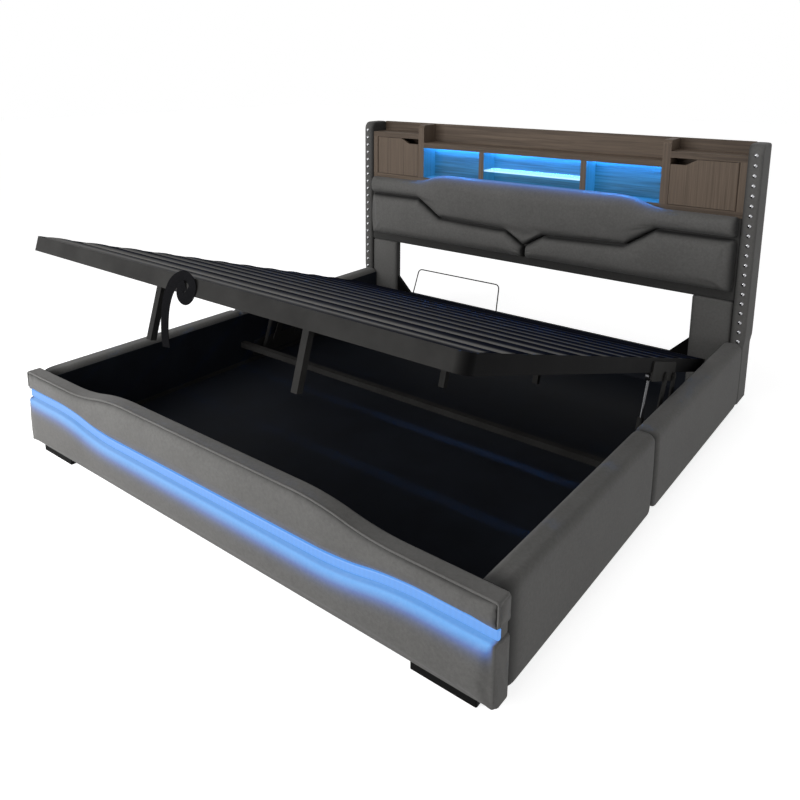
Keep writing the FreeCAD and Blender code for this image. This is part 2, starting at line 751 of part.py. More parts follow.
slats = []
for index in range(slat_count):
    a0 = slat_first + index * slat_pitch
    fractions = [step / slat_steps for step in range(slat_steps + 1)]
    arch = [(a0 + slat_wide * f, slat_top - slat_fall(f)) for f in fractions]
    b0, inner_wide = a0 + slat_sheet, slat_wide - 2 * slat_sheet
    under = [(b0 + inner_wide * f, slat_top - slat_fall(f) - slat_sheet) for f in fractions]
    tray = [(a0, ledge)] + arch + [(a0 + slat_wide, ledge), (b0 + inner_wide, ledge)]
    tray += backwards(under) + [(b0, ledge)]
    slats.append(as_raised(along_x(tray, half_platform - slat_inset)))
keep("slats", *slats)

beam_low = ledge - beam_tall
beam = box(beam_x - beam_wide / 2, beam_x + beam_wide / 2, flange, head_join, beam_low, ledge)
beam = beam.cut(box(beam_x - beam_wide / 2 + beam_sheet, beam_x + beam_wide / 2 - beam_sheet, flange - 1,
                    head_join + 1, beam_low + beam_sheet, ledge + 1))
keep("platform_beams", as_raised(beam), as_raised(mirrored(beam)))
leg_low = floor_top + leg_clear - closed_foot[1]
support_legs = []
half = leg_tube / 2
hollow = half - leg_wall
for index in range(leg_rows):
    a = leg_first + index * leg_pitch
    post = box(beam_x - half, beam_x + half, a - half, a + half, leg_low, beam_low)
    post = post.cut(box(beam_x - hollow, beam_x + hollow, a - hollow, a + hollow,
                        leg_low - 1, beam_low - leg_wall))
    support_legs += [as_raised(post), as_raised(mirrored(post))]
keep("support_legs", *support_legs)

bracket_low = front_point[1] - arm_half
bracket = box(half_platform, bracket_outer, strut_point[0] - bracket_end, rear_point[0] + bracket_end,
              bracket_low, frame_tall - bracket_drop)
bracket = bracket.makeFillet(bracket_round, edges_along(bracket, 0))
pin_end = arm_outer + face_play
rear_head = rear_pin + rear_play + rear_nut
for point, radius, head in ((front_point, pivot, collar), (rear_point, rear_pin, rear_head)):
    bracket = bracket.fuse(rod_x(bracket_outer, pin_end, point[0], point[1], radius))
    bracket = bracket.fuse(nut_x(pin_end, pin_end + pin_head, point[0], point[1], head))
bracket = bracket.fuse(rod_x(strut_head, half_platform, strut_point[0], strut_point[1], strut_pin))
keep("lift_brackets", as_raised(bracket), as_raised(mirrored(bracket)))

# Pull strap: a band round the front of the foot rail, in a slot of its flange, and one tail
# that hangs in front of it.
band = box(strap_x - strap_half, strap_x + strap_half, -strap_thick, strap_loop + strap_thick,
           -strap_thick, frame_tall + strap_thick)
band = band.makeFillet(strap_thick, edges_along(band, 0))
band = band.cut(box(strap_x - strap_wide, strap_x + strap_wide, 0, strap_loop, 0, frame_tall))
tail_right = strap_x + strap_half
foot_y, foot_z = raised_foot
tail_points = [(tail_right, foot_z + tail_start), (tail_right - tail_shift, foot_z - tail_shift)]
tail_points += [(tail_right - tail_shift, foot_z - tail_long)]
tail_points += [(x - strap_wide, z) for x, z in reversed(tail_points)]
tail = slab(tail_points, foot_y - strap_thick - tail_out, foot_y - tail_out)
keep("pull_strap", as_raised(band).fuse(tail).removeSplitter())

# Wire bail that holds the mattress at the head edge.
bail_y = platform_length - slat_last - bail_set
bail_base = slat_top - slat_fall(1 - (bail_set + boss) / slat_wide)
side_lean = math.atan2(bail_foot - bail_top, bail_tall)
corner = V(bail_x + bail_top, bail_y, bail_base + bail_tall)
down = V(math.sin(side_lean), 0, -math.cos(side_lean))
reach = bail_bend * math.tan((math.pi / 2 - side_lean) / 2)
turn_out = corner + down * reach
turn_in = corner - V(reach, 0, 0)
hub = turn_in - V(0, 0, bail_bend)
knee = hub + (corner - hub).normalize() * bail_bend
foot = V(bail_x + bail_foot, bail_y, bail_base + 0.5 * boss_tall)


def across(point):
    """The same point on the bail's other side."""
    return V(2 * bail_x - point.x, point.y, point.z)


bail_edges = [Part.makeLine(foot, turn_out), Part.Arc(turn_out, knee, turn_in).toShape()]
bail_edges += [Part.makeLine(turn_in, across(turn_in))]
bail_edges += [Part.Arc(across(turn_in), across(knee), across(turn_out)).toShape()]
bail_edges += [Part.makeLine(across(turn_out), across(foot))]
upward = (turn_out - foot).normalize()
ring = Part.makePolygon(ring_points(foot, V(0, 1, 0), upward.cross(V(0, 1, 0)), wire, wire_sides))
bail = Part.Wire(bail_edges).makePipeShell([ring], True, True)
for spot in (foot, across(foot)):
    corners = ring_points(V(spot.x, spot.y, bail_base), V(1, 0, 0), V(0, 1, 0), boss, 6)
    bail = bail.fuse(Part.Face(Part.makePolygon(corners)).extrude(V(0, 0, boss_tall)))
keep("mattress_bail", as_raised(bail))

swing = turn_between(front_point, front_low)
print("size", 2 * half_bed, bed_length, head_height)
print("front arm", front_low, front_high, "swing", swing)
print("platform turn on arm", math.degrees(tilt) - swing)
print("rear arm", rear_low, "swing", turn_between(rear_point, rear_low))
print("strut", strut_base, "swing", turn_between(strut_point, strut_base))
print("strut slide", strut_shut - strut_long, "lean", strut_lean)
print("door hinge", hinge_x, hinge_y - bed_length / 2, (door_low + door_high) / 2)
print("shift", -bed_length / 2)
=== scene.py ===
# %% [markdown]
# A wide storage bed with padded rails, a lit footboard, a shelf headboard and a slatted platform
# that is raised over the storage well. The rigid boards, bars and hinges come from the packed
# frame as they are. The soft covers, the lit groove, the bright studs, the arched slats, the wire
# bail and the webbing strap are made here, because cloth, domes and thin rolled sheets need more
# faces than a frame of solids carries.

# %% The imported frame
import math

import bpy
import numpy as np
from mathutils import Matrix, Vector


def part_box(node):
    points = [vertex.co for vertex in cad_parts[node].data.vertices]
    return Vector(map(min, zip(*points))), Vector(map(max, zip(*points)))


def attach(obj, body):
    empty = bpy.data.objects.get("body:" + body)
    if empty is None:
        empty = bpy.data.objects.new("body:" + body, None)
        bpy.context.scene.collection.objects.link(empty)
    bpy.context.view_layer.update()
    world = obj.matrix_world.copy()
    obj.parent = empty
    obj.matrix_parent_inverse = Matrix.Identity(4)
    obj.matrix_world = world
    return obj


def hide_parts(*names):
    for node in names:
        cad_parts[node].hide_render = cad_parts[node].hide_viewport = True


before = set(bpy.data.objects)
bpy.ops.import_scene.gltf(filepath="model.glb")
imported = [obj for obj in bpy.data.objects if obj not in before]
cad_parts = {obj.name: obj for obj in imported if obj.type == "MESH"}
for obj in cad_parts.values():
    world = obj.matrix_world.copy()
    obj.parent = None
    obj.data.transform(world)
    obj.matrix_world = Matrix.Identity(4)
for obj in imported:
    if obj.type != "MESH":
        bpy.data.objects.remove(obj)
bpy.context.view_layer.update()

SIDES = ("left", "right")
print("nodes in the frame:", len(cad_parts))


# %% [markdown]
# The camera comes first, so that every later choice can be judged in the picture. Its place and
# turn were worked out once from the straight edges of the bed. The lens shift moves the picture
# without turning the camera, which keeps the upright edges of the bed as they are.

# %% Camera
picture = 800
focal_pixels = 766.2
axis_pixel = (372.2, 224.4)
camera_azimuth = math.radians(39.08)
camera_elevation = math.radians(11.67)
camera_place = (1.7868, -2.4616, 1.4971)

camera_data = bpy.data.cameras.new("camera")
camera_data.sensor_width = 36
camera_data.lens = camera_data.sensor_width * focal_pixels / picture
camera_data.shift_x = 0.5 - axis_pixel[0] / picture
camera_data.shift_y = axis_pixel[1] / picture - 0.5
camera = bpy.data.objects.new("camera", camera_data)
camera.location = camera_place
camera.rotation_euler = (math.pi / 2 - camera_elevation, 0, camera_azimuth)
bpy.context.collection.objects.link(camera)
bpy.context.scene.camera = camera
print("lens", round(camera_data.lens, 2), "mm")


# %% [markdown]
# The light is a plain studio set: one large soft lamp in front of the footboard and to its left, a
# weaker one overhead, a small one that opens up the long right side, and an even grey world. A
# lamp's light falls with the square of the distance, so the footboard is brighter than the
# headboard, two metres behind it. The world and the floor show white to the camera and to glossy
# and clear surfaces, while they light the bed at a plain level.

# %% Lamps
def soft_lamp(name, place, aim, wide, tall, watts):
    """Rectangular lamp at a place, turned so that its light goes towards the aim."""
    data = bpy.data.lights.new(name, "AREA")
    data.shape = "RECTANGLE"
    data.size = wide
    data.size_y = tall
    data.energy = watts
    lamp = bpy.data.objects.new(name, data)
    lamp.location = place
    back = np.array(place, float) - np.array(aim, float)
    back /= np.linalg.norm(back)
    right = np.cross((0.0, 0.0, 1.0), back)
    right /= np.linalg.norm(right)
    lamp.rotation_euler = Matrix(np.stack([right, np.cross(back, right), back], 1).tolist()).to_euler()
    bpy.context.collection.objects.link(lamp)


soft_lamp("front_lamp", (-1.4, -3.4, 1.35), (0.1, -1.1, 0.4), 3.2, 1.6, 135)
soft_lamp("top_lamp", (0.0, -1.2, 3.5), (0.0, -0.5, 0.3), 2.6, 2.2, 36)
soft_lamp("side_lamp", (4.4, -0.9, 0.9), (1.0, -0.2, 0.2), 2.4, 1.2, 27)


# %% [markdown]
# World, floor and finishes are trees of nodes. They could be wired by hand in the shader editor. A few
# helpers do it here, so that a finish reads as a short list of what it is made of.

# %% Helpers for nodes
def feed(tree, value, socket):
    """Gives a socket its value: a link if the value is another node's output, else a constant."""
    if isinstance(value, bpy.types.NodeSocket):
        tree.links.new(value, socket)
    else:
        socket.default_value = value


def add(tree, kind, **settings):
    """New node. A setting that is a socket's name with underscores feeds that socket."""
    made = tree.nodes.new(kind)
    for key, value in settings.items():
        socket = made.inputs.get(key.replace("_", " "))
        if socket is None:
            setattr(made, key, value)
        else:
            feed(tree, value, socket)
    return made


def maths(tree, operation, *values):
    """Output of one sum on values, each a number or another node's output."""
    made = add(tree, "ShaderNodeMath", operation=operation)
    for value, socket in zip(values, made.inputs):
        feed(tree, value, socket)
    return made.outputs[0]


def between(tree, fraction, low, high):
    """Value that runs from low to high as the fraction runs from 0 to 1."""
    return add(tree, "ShaderNodeMapRange", Value=fraction, To_Min=low, To_Max=high).outputs["Result"]


def blank_material(name, **shader_values):
    """New material, its tree and its shader. Plain values are set on the shader's own sockets."""
    material = bpy.data.materials.new(name)
    material.use_nodes = True
    shader = material.node_tree.nodes["Principled BSDF"]
    for key, value in shader_values.items():
        shader.inputs[key.replace("_", " ")].default_value = value
    return material, material.node_tree, shader


print("node helpers ready")


# %% World and floor
def shown_rays(tree):
    """Mask that is 1 for rays from the camera, from glossy surfaces and through clear ones."""
    path = add(tree, "ShaderNodeLightPath")
    shown = maths(tree, "MAXIMUM", path.outputs["Is Camera Ray"], path.outputs["Is Glossy Ray"])
    return maths(tree, "MAXIMUM", shown, path.outputs["Is Transmission Ray"])


white = (1, 1, 1, 1)
world_light, floor_shown, half_floor = 0.24, 0.80, 20

world = bpy.data.worlds.new("studio")
world.use_nodes = True
tree = world.node_tree
background = tree.nodes["Background"]
background.inputs["Color"].default_value = white
feed(tree, between(tree, shown_rays(tree), world_light, 1.0), background.inputs["Strength"])
bpy.context.scene.world = world
bpy.context.scene.view_settings.view_transform = "Standard"

corners = [(x * half_floor, y * half_floor, 0) for x, y in ((-1, -1), (1, -1), (1, 1), (-1, 1))]
floor_mesh = bpy.data.meshes.new("floor")
floor_mesh.from_pydata(corners, [], [(0, 1, 2, 3)])
floor = bpy.data.objects.new("floor", floor_mesh)
bpy.context.collection.objects.link(floor)
pale, tree, shader = blank_material("pale_floor", Base_Color=(0.62, 0.62, 0.62, 1), Roughness=0.9,
                                    Emission_Color=white)
feed(tree, between(tree, shown_rays(tree), 0.0, floor_shown), shader.inputs["Emission Strength"])
floor_mesh.materials.append(pale)
print("floor and world are set")


# %% [markdown]
# Materials are built from nodes. Three effects come back in several finishes, so each is a node
# group with named sockets: the fine pebble of the soft cover, the grain of wood, and the speckle
# of a sprayed coat. A group only gives numbers that change over the surface: first one for the
# height, then one for the tone. The shader itself stays in each material.

# %% Shared effects
VECTOR, FLOAT = "NodeSocketVector", "NodeSocketFloat"
NOISE = "ShaderNodeTexNoise"


def blank_group(name, inputs, outputs):
    """Empty node group with float and vector sockets, as its tree, its input and its output node."""
    tree = bpy.data.node_groups.new(name, "ShaderNodeTree")
    for label, kind in inputs:
        tree.interface.new_socket(label, in_out="INPUT", socket_type=kind)
    for label in outputs:
        tree.interface.new_socket(label, in_out="OUTPUT", socket_type="NodeSocketFloat")
    return tree, tree.nodes.new("NodeGroupInput"), tree.nodes.new("NodeGroupOutput")


def sum_of(tree, *weighted):
    """Weighted sum of several outputs, as a chain of multiply-add nodes."""
    total = 0.0
    for output, weight in weighted:
        total = maths(tree, "MULTIPLY_ADD", output, weight, total)
    return total


pebble, given, result = blank_group("cover_pebble", [("Vector", VECTOR), ("Size", FLOAT)],
                                    ["Height", "Mottle"])
at, size = given.outputs["Vector"], given.outputs["Size"]
cells = add(pebble, "ShaderNodeTexVoronoi", feature="SMOOTH_F1", Vector=at, Scale=size)
threads = add(pebble, NOISE, Vector=at, Scale=maths(pebble, "MULTIPLY", size, 2.3), Detail=4.0,
              Roughness=0.6)
nap = add(pebble, NOISE, Vector=at, Scale=maths(pebble, "MULTIPLY", size, 0.22), Detail=3.0,
          Roughness=0.65)
clouds = add(pebble, NOISE, Vector=at, Scale=4.0, Detail=3.0, Roughness=0.55)
feed(pebble, sum_of(pebble, (cells.outputs["Distance"], 0.7), (threads.outputs[0], 0.45)),
     result.inputs["Height"])
feed(pebble, sum_of(pebble, (clouds.outputs[0], 0.30), (nap.outputs[0], 0.40),
                    (threads.outputs[0], 0.30)), result.inputs["Mottle"])

grain, given, result = blank_group("wood_grain", [("Vector", VECTOR)], ["Pores", "Tone"])
at = given.outputs["Vector"]
streaks = add(grain, NOISE, Vector=at, Scale=1.0, Detail=7.0, Roughness=0.62, Distortion=0.5)
bands = add(grain, "ShaderNodeTexWave", Vector=at, Scale=0.35, Distortion=7.0, Detail=3.0,
            Detail_Scale=0.6, bands_direction="Y")
pores = add(grain, NOISE, Vector=at, Scale=6.0, Detail=3.0, Roughness=0.7)
feed(grain, sum_of(grain, (pores.outputs[0], 0.7), (streaks.outputs[0], 0.3)), result.inputs["Pores"])
feed(grain, sum_of(grain, (streaks.outputs[0], 0.66), (bands.outputs["Fac"], 0.2),
                   (pores.outputs[0], 0.14)), result.inputs["Tone"])

speckle, given, result = blank_group("coat_speckle", [("Vector", VECTOR), ("Size", FLOAT)],
                                     ["Height", "Smudge"])
at, size = given.outputs["Vector"], given.outputs["Size"]
peel = add(speckle, NOISE, Vector=at, Scale=size, Detail=2.0, Roughness=0.5)
smudges = add(speckle, NOISE, Vector=at, Scale=7.0, Detail=4.0, Roughness=0.6)
feed(speckle, peel.outputs[0], result.inputs["Height"])
feed(speckle, smudges.outputs[0], result.inputs["Smudge"])
print("effects:", pebble.name, grain.name, speckle.name)


# %% Building a finish from an effect
TONE_STOPS = (0.32, 0.68)


def colour_ramp(tree, fraction, *stops):
    """Colour that runs evenly between stops, each a place from 0 to 1 and a linear colour."""
    made = add(tree, "ShaderNodeValToRGB")
    elements = made.color_ramp.elements
    for place, _ in stops[1:-1]:
        elements.new(place)
    for element, (place, colour) in zip(elements, stops):
        element.position = place
        element.color = (*colour, 1)
    feed(tree, fraction, made.inputs[0])
    return made.outputs[0]


def finish(name, effect, size, colours, rough, bump, stretch=(1, 1, 1), **shader_values):
    """Material whose colour, roughness and bump all follow one effect.

    colours: two linear colours, rough: two roughness values, both from the effect's second
    output. bump: (strength, height in metres) from its first output. stretch scales the
    pattern's three directions, and size is None for an effect that has no size."""
    material, tree, shader = blank_material(name, **shader_values)
    place = add(tree, "ShaderNodeTexCoord")
    scaled = add(tree, "ShaderNodeMapping", Vector=place.outputs["Object"], Scale=stretch)
    pattern = add(tree, "ShaderNodeGroup", node_tree=effect, Vector=scaled.outputs[0])
    if size is not None:
        pattern.inputs["Size"].default_value = size
    height, tone = pattern.outputs[0], pattern.outputs[1]
    relief = add(tree, "ShaderNodeBump", Strength=bump[0], Distance=bump[1], Height=height)
    feed(tree, colour_ramp(tree, tone, *zip(TONE_STOPS, colours)), shader.inputs["Base Color"])
    feed(tree, between(tree, tone, *rough), shader.inputs["Roughness"])
    feed(tree, relief.outputs[0], shader.inputs["Normal"])
    return material


# Places of the share, the two colours and the result among a Mix node's sockets.
MIX_SHARE, MIX_FIRST, MIX_SECOND, MIX_RESULT = 0, 6, 7, 2


def mixed(tree, share, first, second, blend="MIX"):
    """Mix of two colours. All three inputs may be constants or other nodes' outputs."""
    made = add(tree, "ShaderNodeMix", data_type="RGBA", blend_type=blend)
    for value, index in ((share, MIX_SHARE), (first, MIX_FIRST), (second, MIX_SECOND)):
        feed(tree, value, made.inputs[index])
    return made.outputs[MIX_RESULT]


def tint(material, share, colour, blend="MIX"):
    """Mixes a constant colour into a material's base colour, by a mask from 0 to 1."""
    tree = material.node_tree
    base = tree.nodes["Principled BSDF"].inputs["Base Color"]
    feed(tree, mixed(tree, share, base.links[0].from_socket, colour, blend), base)


def marked(tree, name):
    """Output that reads a number which a mesh carries at each of its points."""
    return add(tree, "ShaderNodeAttribute", attribute_name=name).outputs["Fac"]


print("finish helpers ready")


# %% [markdown]
# The soft cover is a matt grey imitation suede. Its colour is nearly even, so the mottle is kept
# small, and a little sheen lifts it where it turns away. The covers carry two numbers at each point.
# One is called glow and stands for the blue light that a strip throws on the cloth beside it. The
# other is painted shade: it darkens the cloth in seams and recesses and where it lies in the shade of the
# parts beside it.

# %% Finish of the soft covers
cover = finish("grey_cover", pebble, 460.0, ((0.080, 0.078, 0.075), (0.128, 0.126, 0.122)),
               (0.68, 0.84), (0.30, 0.0008), Sheen_Weight=0.08, Sheen_Roughness=0.45,
               Specular_IOR_Level=0.16, Emission_Strength=1.0)
tree = cover.node_tree
blue_light = colour_ramp(tree, marked(tree, "glow"), (0.0, (0, 0, 0)), (0.45, (0.015, 0.085, 0.34)),
                         (1.0, (0.06, 0.34, 0.82)))
feed(tree, blue_light, tree.nodes["Principled BSDF"].inputs["Emission Color"])
# Painted shade: the cloth darkens to near black where a mesh marks it.
tint(cover, marked(tree, "painted_shade"), (0.006, 0.006, 0.006, 1))
print("finish:", cover.name)


# %% [markdown]
# The shelf is walnut, whose grain is noise that is stretched far along the fibres. Lying boards and
# standing ones stretch it in different directions. The compartments are washed in blue light. Lamps
# alone could do that, but light that bounces about in small boxes renders slowly and with noise, so
# part of it is painted into the wood as a weak emission of its own, and the wood inside is darkened
# by painted shade. The other hard pieces are coated steel, bright steel, black board, plastic and
# glass, and the glass has a faint painted blue glow. The coat of the platform's rim gets painted shade
# that darkens it at its sides.

# %% Finishes of the hard pieces
wood = {"rough": (0.50, 0.66), "bump": (0.30, 0.0005), "Specular_IOR_Level": 0.2,
        "Emission_Strength": 1.0}
coat = {"colours": ((0.020, 0.0195, 0.019), (0.030, 0.0295, 0.0285)), "rough": (0.50, 0.60),
        "bump": (0.08, 0.0002), "Specular_IOR_Level": 0.015}
walnut_flat = finish("walnut_lying", grain, None, ((0.056, 0.040, 0.029), (0.132, 0.098, 0.072)),
                     stretch=(4.0, 120, 120), **wood)
walnut_up = finish("walnut_standing", grain, None, ((0.068, 0.049, 0.036), (0.130, 0.097, 0.072)),
                   stretch=(300, 300, 5.0), **wood)
steel = finish("black_coated_steel", speckle, 900.0, **coat)
# The rim's coat is the same as the steel's; painted shade is added to its sides below.
rail_steel = finish("black_coated_rail", speckle, 900.0, **coat)
rod_steel = finish("bright_steel", speckle, 1400.0, ((0.04, 0.04, 0.042), (0.07, 0.07, 0.073)),
                   (0.30, 0.42), (0.05, 0.0002), Metallic=1.0)
chrome = finish("stud_metal", speckle, 300.0, ((0.26, 0.26, 0.27), (0.40, 0.40, 0.41)),
                (0.12, 0.26), (0.03, 0.0002), Metallic=1.0)
lining = finish("black_board", speckle, 700.0, ((0.005, 0.006, 0.0090), (0.009, 0.011, 0.016)),
                (0.60, 0.75), (0.15, 0.0003), Specular_IOR_Level=0.10)
plastic = finish("black_plastic", speckle, 1100.0, ((0.003, 0.003, 0.003), (0.006, 0.006, 0.006)),
                 (0.50, 0.62), (0.18, 0.0003), Specular_IOR_Level=0.03)
# The glass glows faintly blue: painted light of the shelf strips caught in it.
glass = finish("shelf_glass", speckle, 200.0, ((0.80, 0.88, 0.95), (0.90, 0.96, 1.0)),
               (0.02, 0.05), (0.01, 0.0001), Transmission_Weight=0.6, IOR=1.5,
               Emission_Color=(0.30, 0.62, 1.0, 1.0), Emission_Strength=0.55)
print("hard finishes:", [item.name for item in (walnut_flat, steel, rod_steel, chrome, lining, glass)])


# %% Painted light on the wood and painted shade on the rim's sides
def bed_point(tree):
    """Outputs |x|, y and z of a point, in the bed's own coordinates."""
    place = add(tree, "ShaderNodeTexCoord")
    parts = add(tree, "ShaderNodeSeparateXYZ", Vector=place.outputs["Object"])
    return maths(tree, "ABSOLUTE", parts.outputs["X"]), parts.outputs["Y"], parts.outputs["Z"]


def fade_in(tree, value, start, full):
    """Mask that runs from 0 where the value is start to 1 where it is full."""
    made = add(tree, "ShaderNodeMapRange", Value=value, From_Min=start, From_Max=full)
    return made.outputs["Result"]


# Faces of the lit compartments: the coordinate, where the light ends and where it is full.
compartment_faces = ((0, 0.653, 0.647), (1, 0.987, 0.992), (1, 1.104, 1.100), (2, 0.888, 0.892),
                     (2, 1.062, 1.056))


def lit_wood(material):
    """Wood inside the compartments: darker with painted shade, and washed with the painted blue light of
    the strips.

    The mask is the product of one fade for each face of the compartments."""
    tree = material.node_tree
    shader = tree.nodes["Principled BSDF"]
    point = bed_point(tree)
    mask = 1.0
    for axis, outside, within in compartment_faces:
        mask = maths(tree, "MULTIPLY", fade_in(tree, point[axis], outside, within), mask)
    plain = shader.inputs["Base Color"].links[0].from_socket
    wash = mixed(tree, 1.0, plain, (0.12, 1.45, 4.5, 1), "MULTIPLY")
    feed(tree, mixed(tree, mask, (0, 0, 0, 1), wash), shader.inputs["Emission Color"])
    # Painted shade, tinted blue, darkens the wood inside the compartments.
    tint(material, mask, (0.25, 0.6, 0.9, 1), "MULTIPLY")


for material in (walnut_flat, walnut_up):
    lit_wood(material)

# Painted shade: the rim's coat darkens to near black from the start of its rounded corners out to its
# sides.
rim_side, rim_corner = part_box("platform_foot_rail")[1][0], 0.035
tree = rail_steel.node_tree
rim_painted_shade = fade_in(tree, bed_point(tree)[0], rim_side - rim_corner, rim_side - 0.15 * rim_corner)
tint(rail_steel, rim_painted_shade, (0.005, 0.005, 0.0053, 1))
print("rim fades to black from", round(rim_side - rim_corner, 3), "m off the middle")


# %% [markdown]
# The light strips are diffusers that glow by themselves. A strip in the shelf is strong enough to
# light its compartment. The one in the footboard's groove only has to look lit, because the light
# that it throws on the cover is in the cover's own glow.

# %% Finish of the light strips
def lit_strip(name, colour, strength):
    """Glowing diffuser: the light is a little brighter over each of the small lamps behind it."""
    material, tree, shader = blank_material(name, Base_Color=(0.04, 0.06, 0.10, 1), Roughness=0.5,
                                            Emission_Strength=strength)
    place = add(tree, "ShaderNodeTexCoord")
    lamps = add(tree, "ShaderNodeTexWave", Vector=place.outputs["Object"], Scale=19.0,
                bands_direction="X")
    dimmer = [0.96 * part for part in colour]
    feed(tree, colour_ramp(tree, lamps.outputs["Fac"], (0, dimmer), (1, colour)),
         shader.inputs["Emission Color"])
    return material


groove_light = lit_strip("groove_light", (0.080, 0.285, 0.74), 1.0)
shelf_light = lit_strip("shelf_light", (0.03, 0.30, 1.0), 215.0)
print("strips:", groove_light.name, shelf_light.name)


# %% [markdown]
# The nodes of the frame that stay in sight get their finish by name. Boards that lie along the
# bed's width have their grain along the width, and doors and dividers have it upright. A UV map could
# turn the grain as well, but all boards stand square to the bed, so plain coordinates will do.

# %% Finishes of the frame's own nodes
node_finish = {
    walnut_flat: ["shelf_back_board", "shelf_floor_board", "centre_top_board", "left_cabinet_top",
                  "right_cabinet_top"],
    walnut_up: ["tall_dividers", "short_dividers", "cabinet_sides", "left_door", "right_door"],
    glass: ["glass_shelf"],
    shelf_light: ["shelf_light_strips"],
    lining: ["footboard_liner", "left_rail_liner", "right_rail_liner", "front_floor_panel",
             "rear_floor_panel", "head_cross_panel", "floor_bearers"],
    steel: ["mid_cross_bar", "floor_ledgers", "left_lift_plate", "right_lift_plate", "left_front_arm",
            "right_front_arm", "left_rear_arm", "right_rear_arm", "strut_cylinders",
            "platform_head_rail", "platform_beams", "support_legs", "lift_brackets"],
    rail_steel: ["platform_foot_rail", "platform_left_rail", "platform_right_rail"],
    rod_steel: ["strut_rods", "door_hinge_pins"],
    plastic: ["front_feet", "corner_gussets"],
}
for material, names in node_finish.items():
    for name in names:
        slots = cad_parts[name].data.materials
        slots.clear()
        slots.append(material)
print("nodes with a finish:", sum(len(names) for names in node_finish.values()))


# %% [markdown]
# Every padded board is one kind of surface: a soft rectangle carried along a straight path. The
# rectangle may change its size from station to station, which rounds the ends, waves an edge or
# tapers a corner. The first parameter is the place along the path and the second runs round the
# rectangle, so a whole board is one array of points. A box with bevelled edges would be quicker to
# make, but all its corners would be alike.

# %% The soft rectangle
SIGN_U = np.array([1, -1, -1, 1])
SIGN_V = np.array([1, 1, -1, -1])


def soft_ring(corner_steps, side_steps):
    """Points round a soft rectangle, each as a blend of two corner points.

    Corner k is a quarter ellipse from k to k + 1 right angles. A point is
    (1 - t) * P(k, angle) + t * P(k + 1, angle), with t = 0 on a corner and t from 0 to 1 on the
    side after it. side_steps gives the steps on the sides +v, -u, -v and +u."""
    near, far, angle, blend = [], [], [], []
    for k in range(4):
        turn = np.linspace(k, k + 1, corner_steps + 1) * np.pi / 2
        side = np.linspace(0, 1, side_steps[k] + 1)[1:-1]
        near.append(np.full(len(turn) + len(side), k))
        far.append(np.concatenate([np.full(len(turn), k), np.full(len(side), (k + 1) % 4)]))
        angle.append(np.concatenate([turn, np.full(len(side), turn[-1])]))
        blend.append(np.concatenate([np.zeros(len(turn)), side]))
    return [np.concatenate(part) for part in (near, far, angle, blend)]


def soft_bar(along, low_u, high_u, low_v, high_v, round_u, round_v, ring):
    """Soft rectangle carried along a path, as two arrays u and v of stations by ring points.

    A corner point is u = edge - sign * r + r * cos(angle), and the same in v with the sine, where
    r is that corner's own radius in u or in v, at most half of the side. The radii belong to the
    corners at high u and high v, low u and high v, low u and low v, high u and low v."""
    near, far, angle, blend = ring
    bounds = [np.broadcast_to(np.asarray(b, float), along.shape) for b in (low_u, high_u, low_v, high_v)]
    places = []
    for low, high, radius, sign, wave in ((bounds[0], bounds[1], round_u, SIGN_U, np.cos),
                                          (bounds[2], bounds[3], round_v, SIGN_V, np.sin)):
        radius = np.minimum(np.asarray(radius, float), 0.499 * (high - low)[:, None])
        edge = np.where(sign > 0, high[:, None], low[:, None])
        centre = edge - sign * radius
        corner = [centre[:, k] + radius[:, k] * wave(angle) for k in (near, far)]
        places.append((1 - blend) * corner[0] + blend * corner[1])
    return places


def tuck(along, reach, deep, start=True, end=True):
    """How far an end draws in: deep * (1 - sqrt(1 - (1 - d / reach)^2)) at the distance d from it."""
    away = np.full(along.shape, reach)
    if start:
        away = np.minimum(away, along - along[0])
    if end:
        away = np.minimum(away, along[-1] - along)
    return deep * (1 - np.sqrt(1 - (1 - np.clip(away / reach, 0, 1)) ** 2))


def stations(low, high, step, reach, *marks):
    """Places along a path: even steps, finer ones on the two rounded ends, and given marks."""
    even = np.linspace(low + reach, high - reach, max(2, int((high - low - 2 * reach) / step) + 1))
    curve = reach * (1 - np.cos(np.linspace(0, np.pi / 2, 9)[:-1]))
    return np.unique(np.concatenate([low + curve, even, high - curve, np.asarray(marks, float)]))


def widthwise(along, u, v):
    """Points of a bar that runs across the bed: x along it, with u as y and v as z."""
    return np.stack([np.broadcast_to(along[:, None], u.shape), u, v], -1)


def cross_bar(low_x, high_x, step, end, edges, rounding, ring):
    """Soft bar across the bed. end holds the reach and the depth of its drawn-in ends.

    edges gives the front, rear, lower and upper edge from the stations and their drawing-in."""
    along = stations(low_x, high_x, step, end[0])
    bounds = edges(along, tuck(along, *end))
    return widthwise(along, *soft_bar(along, *bounds, rounding, rounding, ring))


print("bar helpers ready")


# %% [markdown]
# An array of points becomes a piece in three steps. Quads between its rings make a mesh, the mesh
# gets an object that is tied to a body of the frame, and a cover gets numbers at each point, which
# its finish reads. Blender's own shapes could be joined instead, but the points of a grid keep
# their order, so the formula that places a point also gives its numbers.

# %% From arrays to pieces
def point_array(mesh):
    """Places of all points of a mesh."""
    places = np.empty(len(mesh.vertices) * 3)
    mesh.vertices.foreach_get("co", places)
    return places.reshape(-1, 3)


def outward(mesh):
    """Turns the faces of a closed mesh round if its volume, summed over triangles, is negative."""
    mesh.calc_loop_triangles()
    corners = np.empty(len(mesh.loop_triangles) * 3, np.int32)
    mesh.loop_triangles.foreach_get("vertices", corners)
    a, b, c = point_array(mesh)[corners.reshape(-1, 3)].transpose(1, 0, 2)
    if np.einsum("ij,ij->i", a, np.cross(b, c)).sum() < 0:
        mesh.flip_normals()


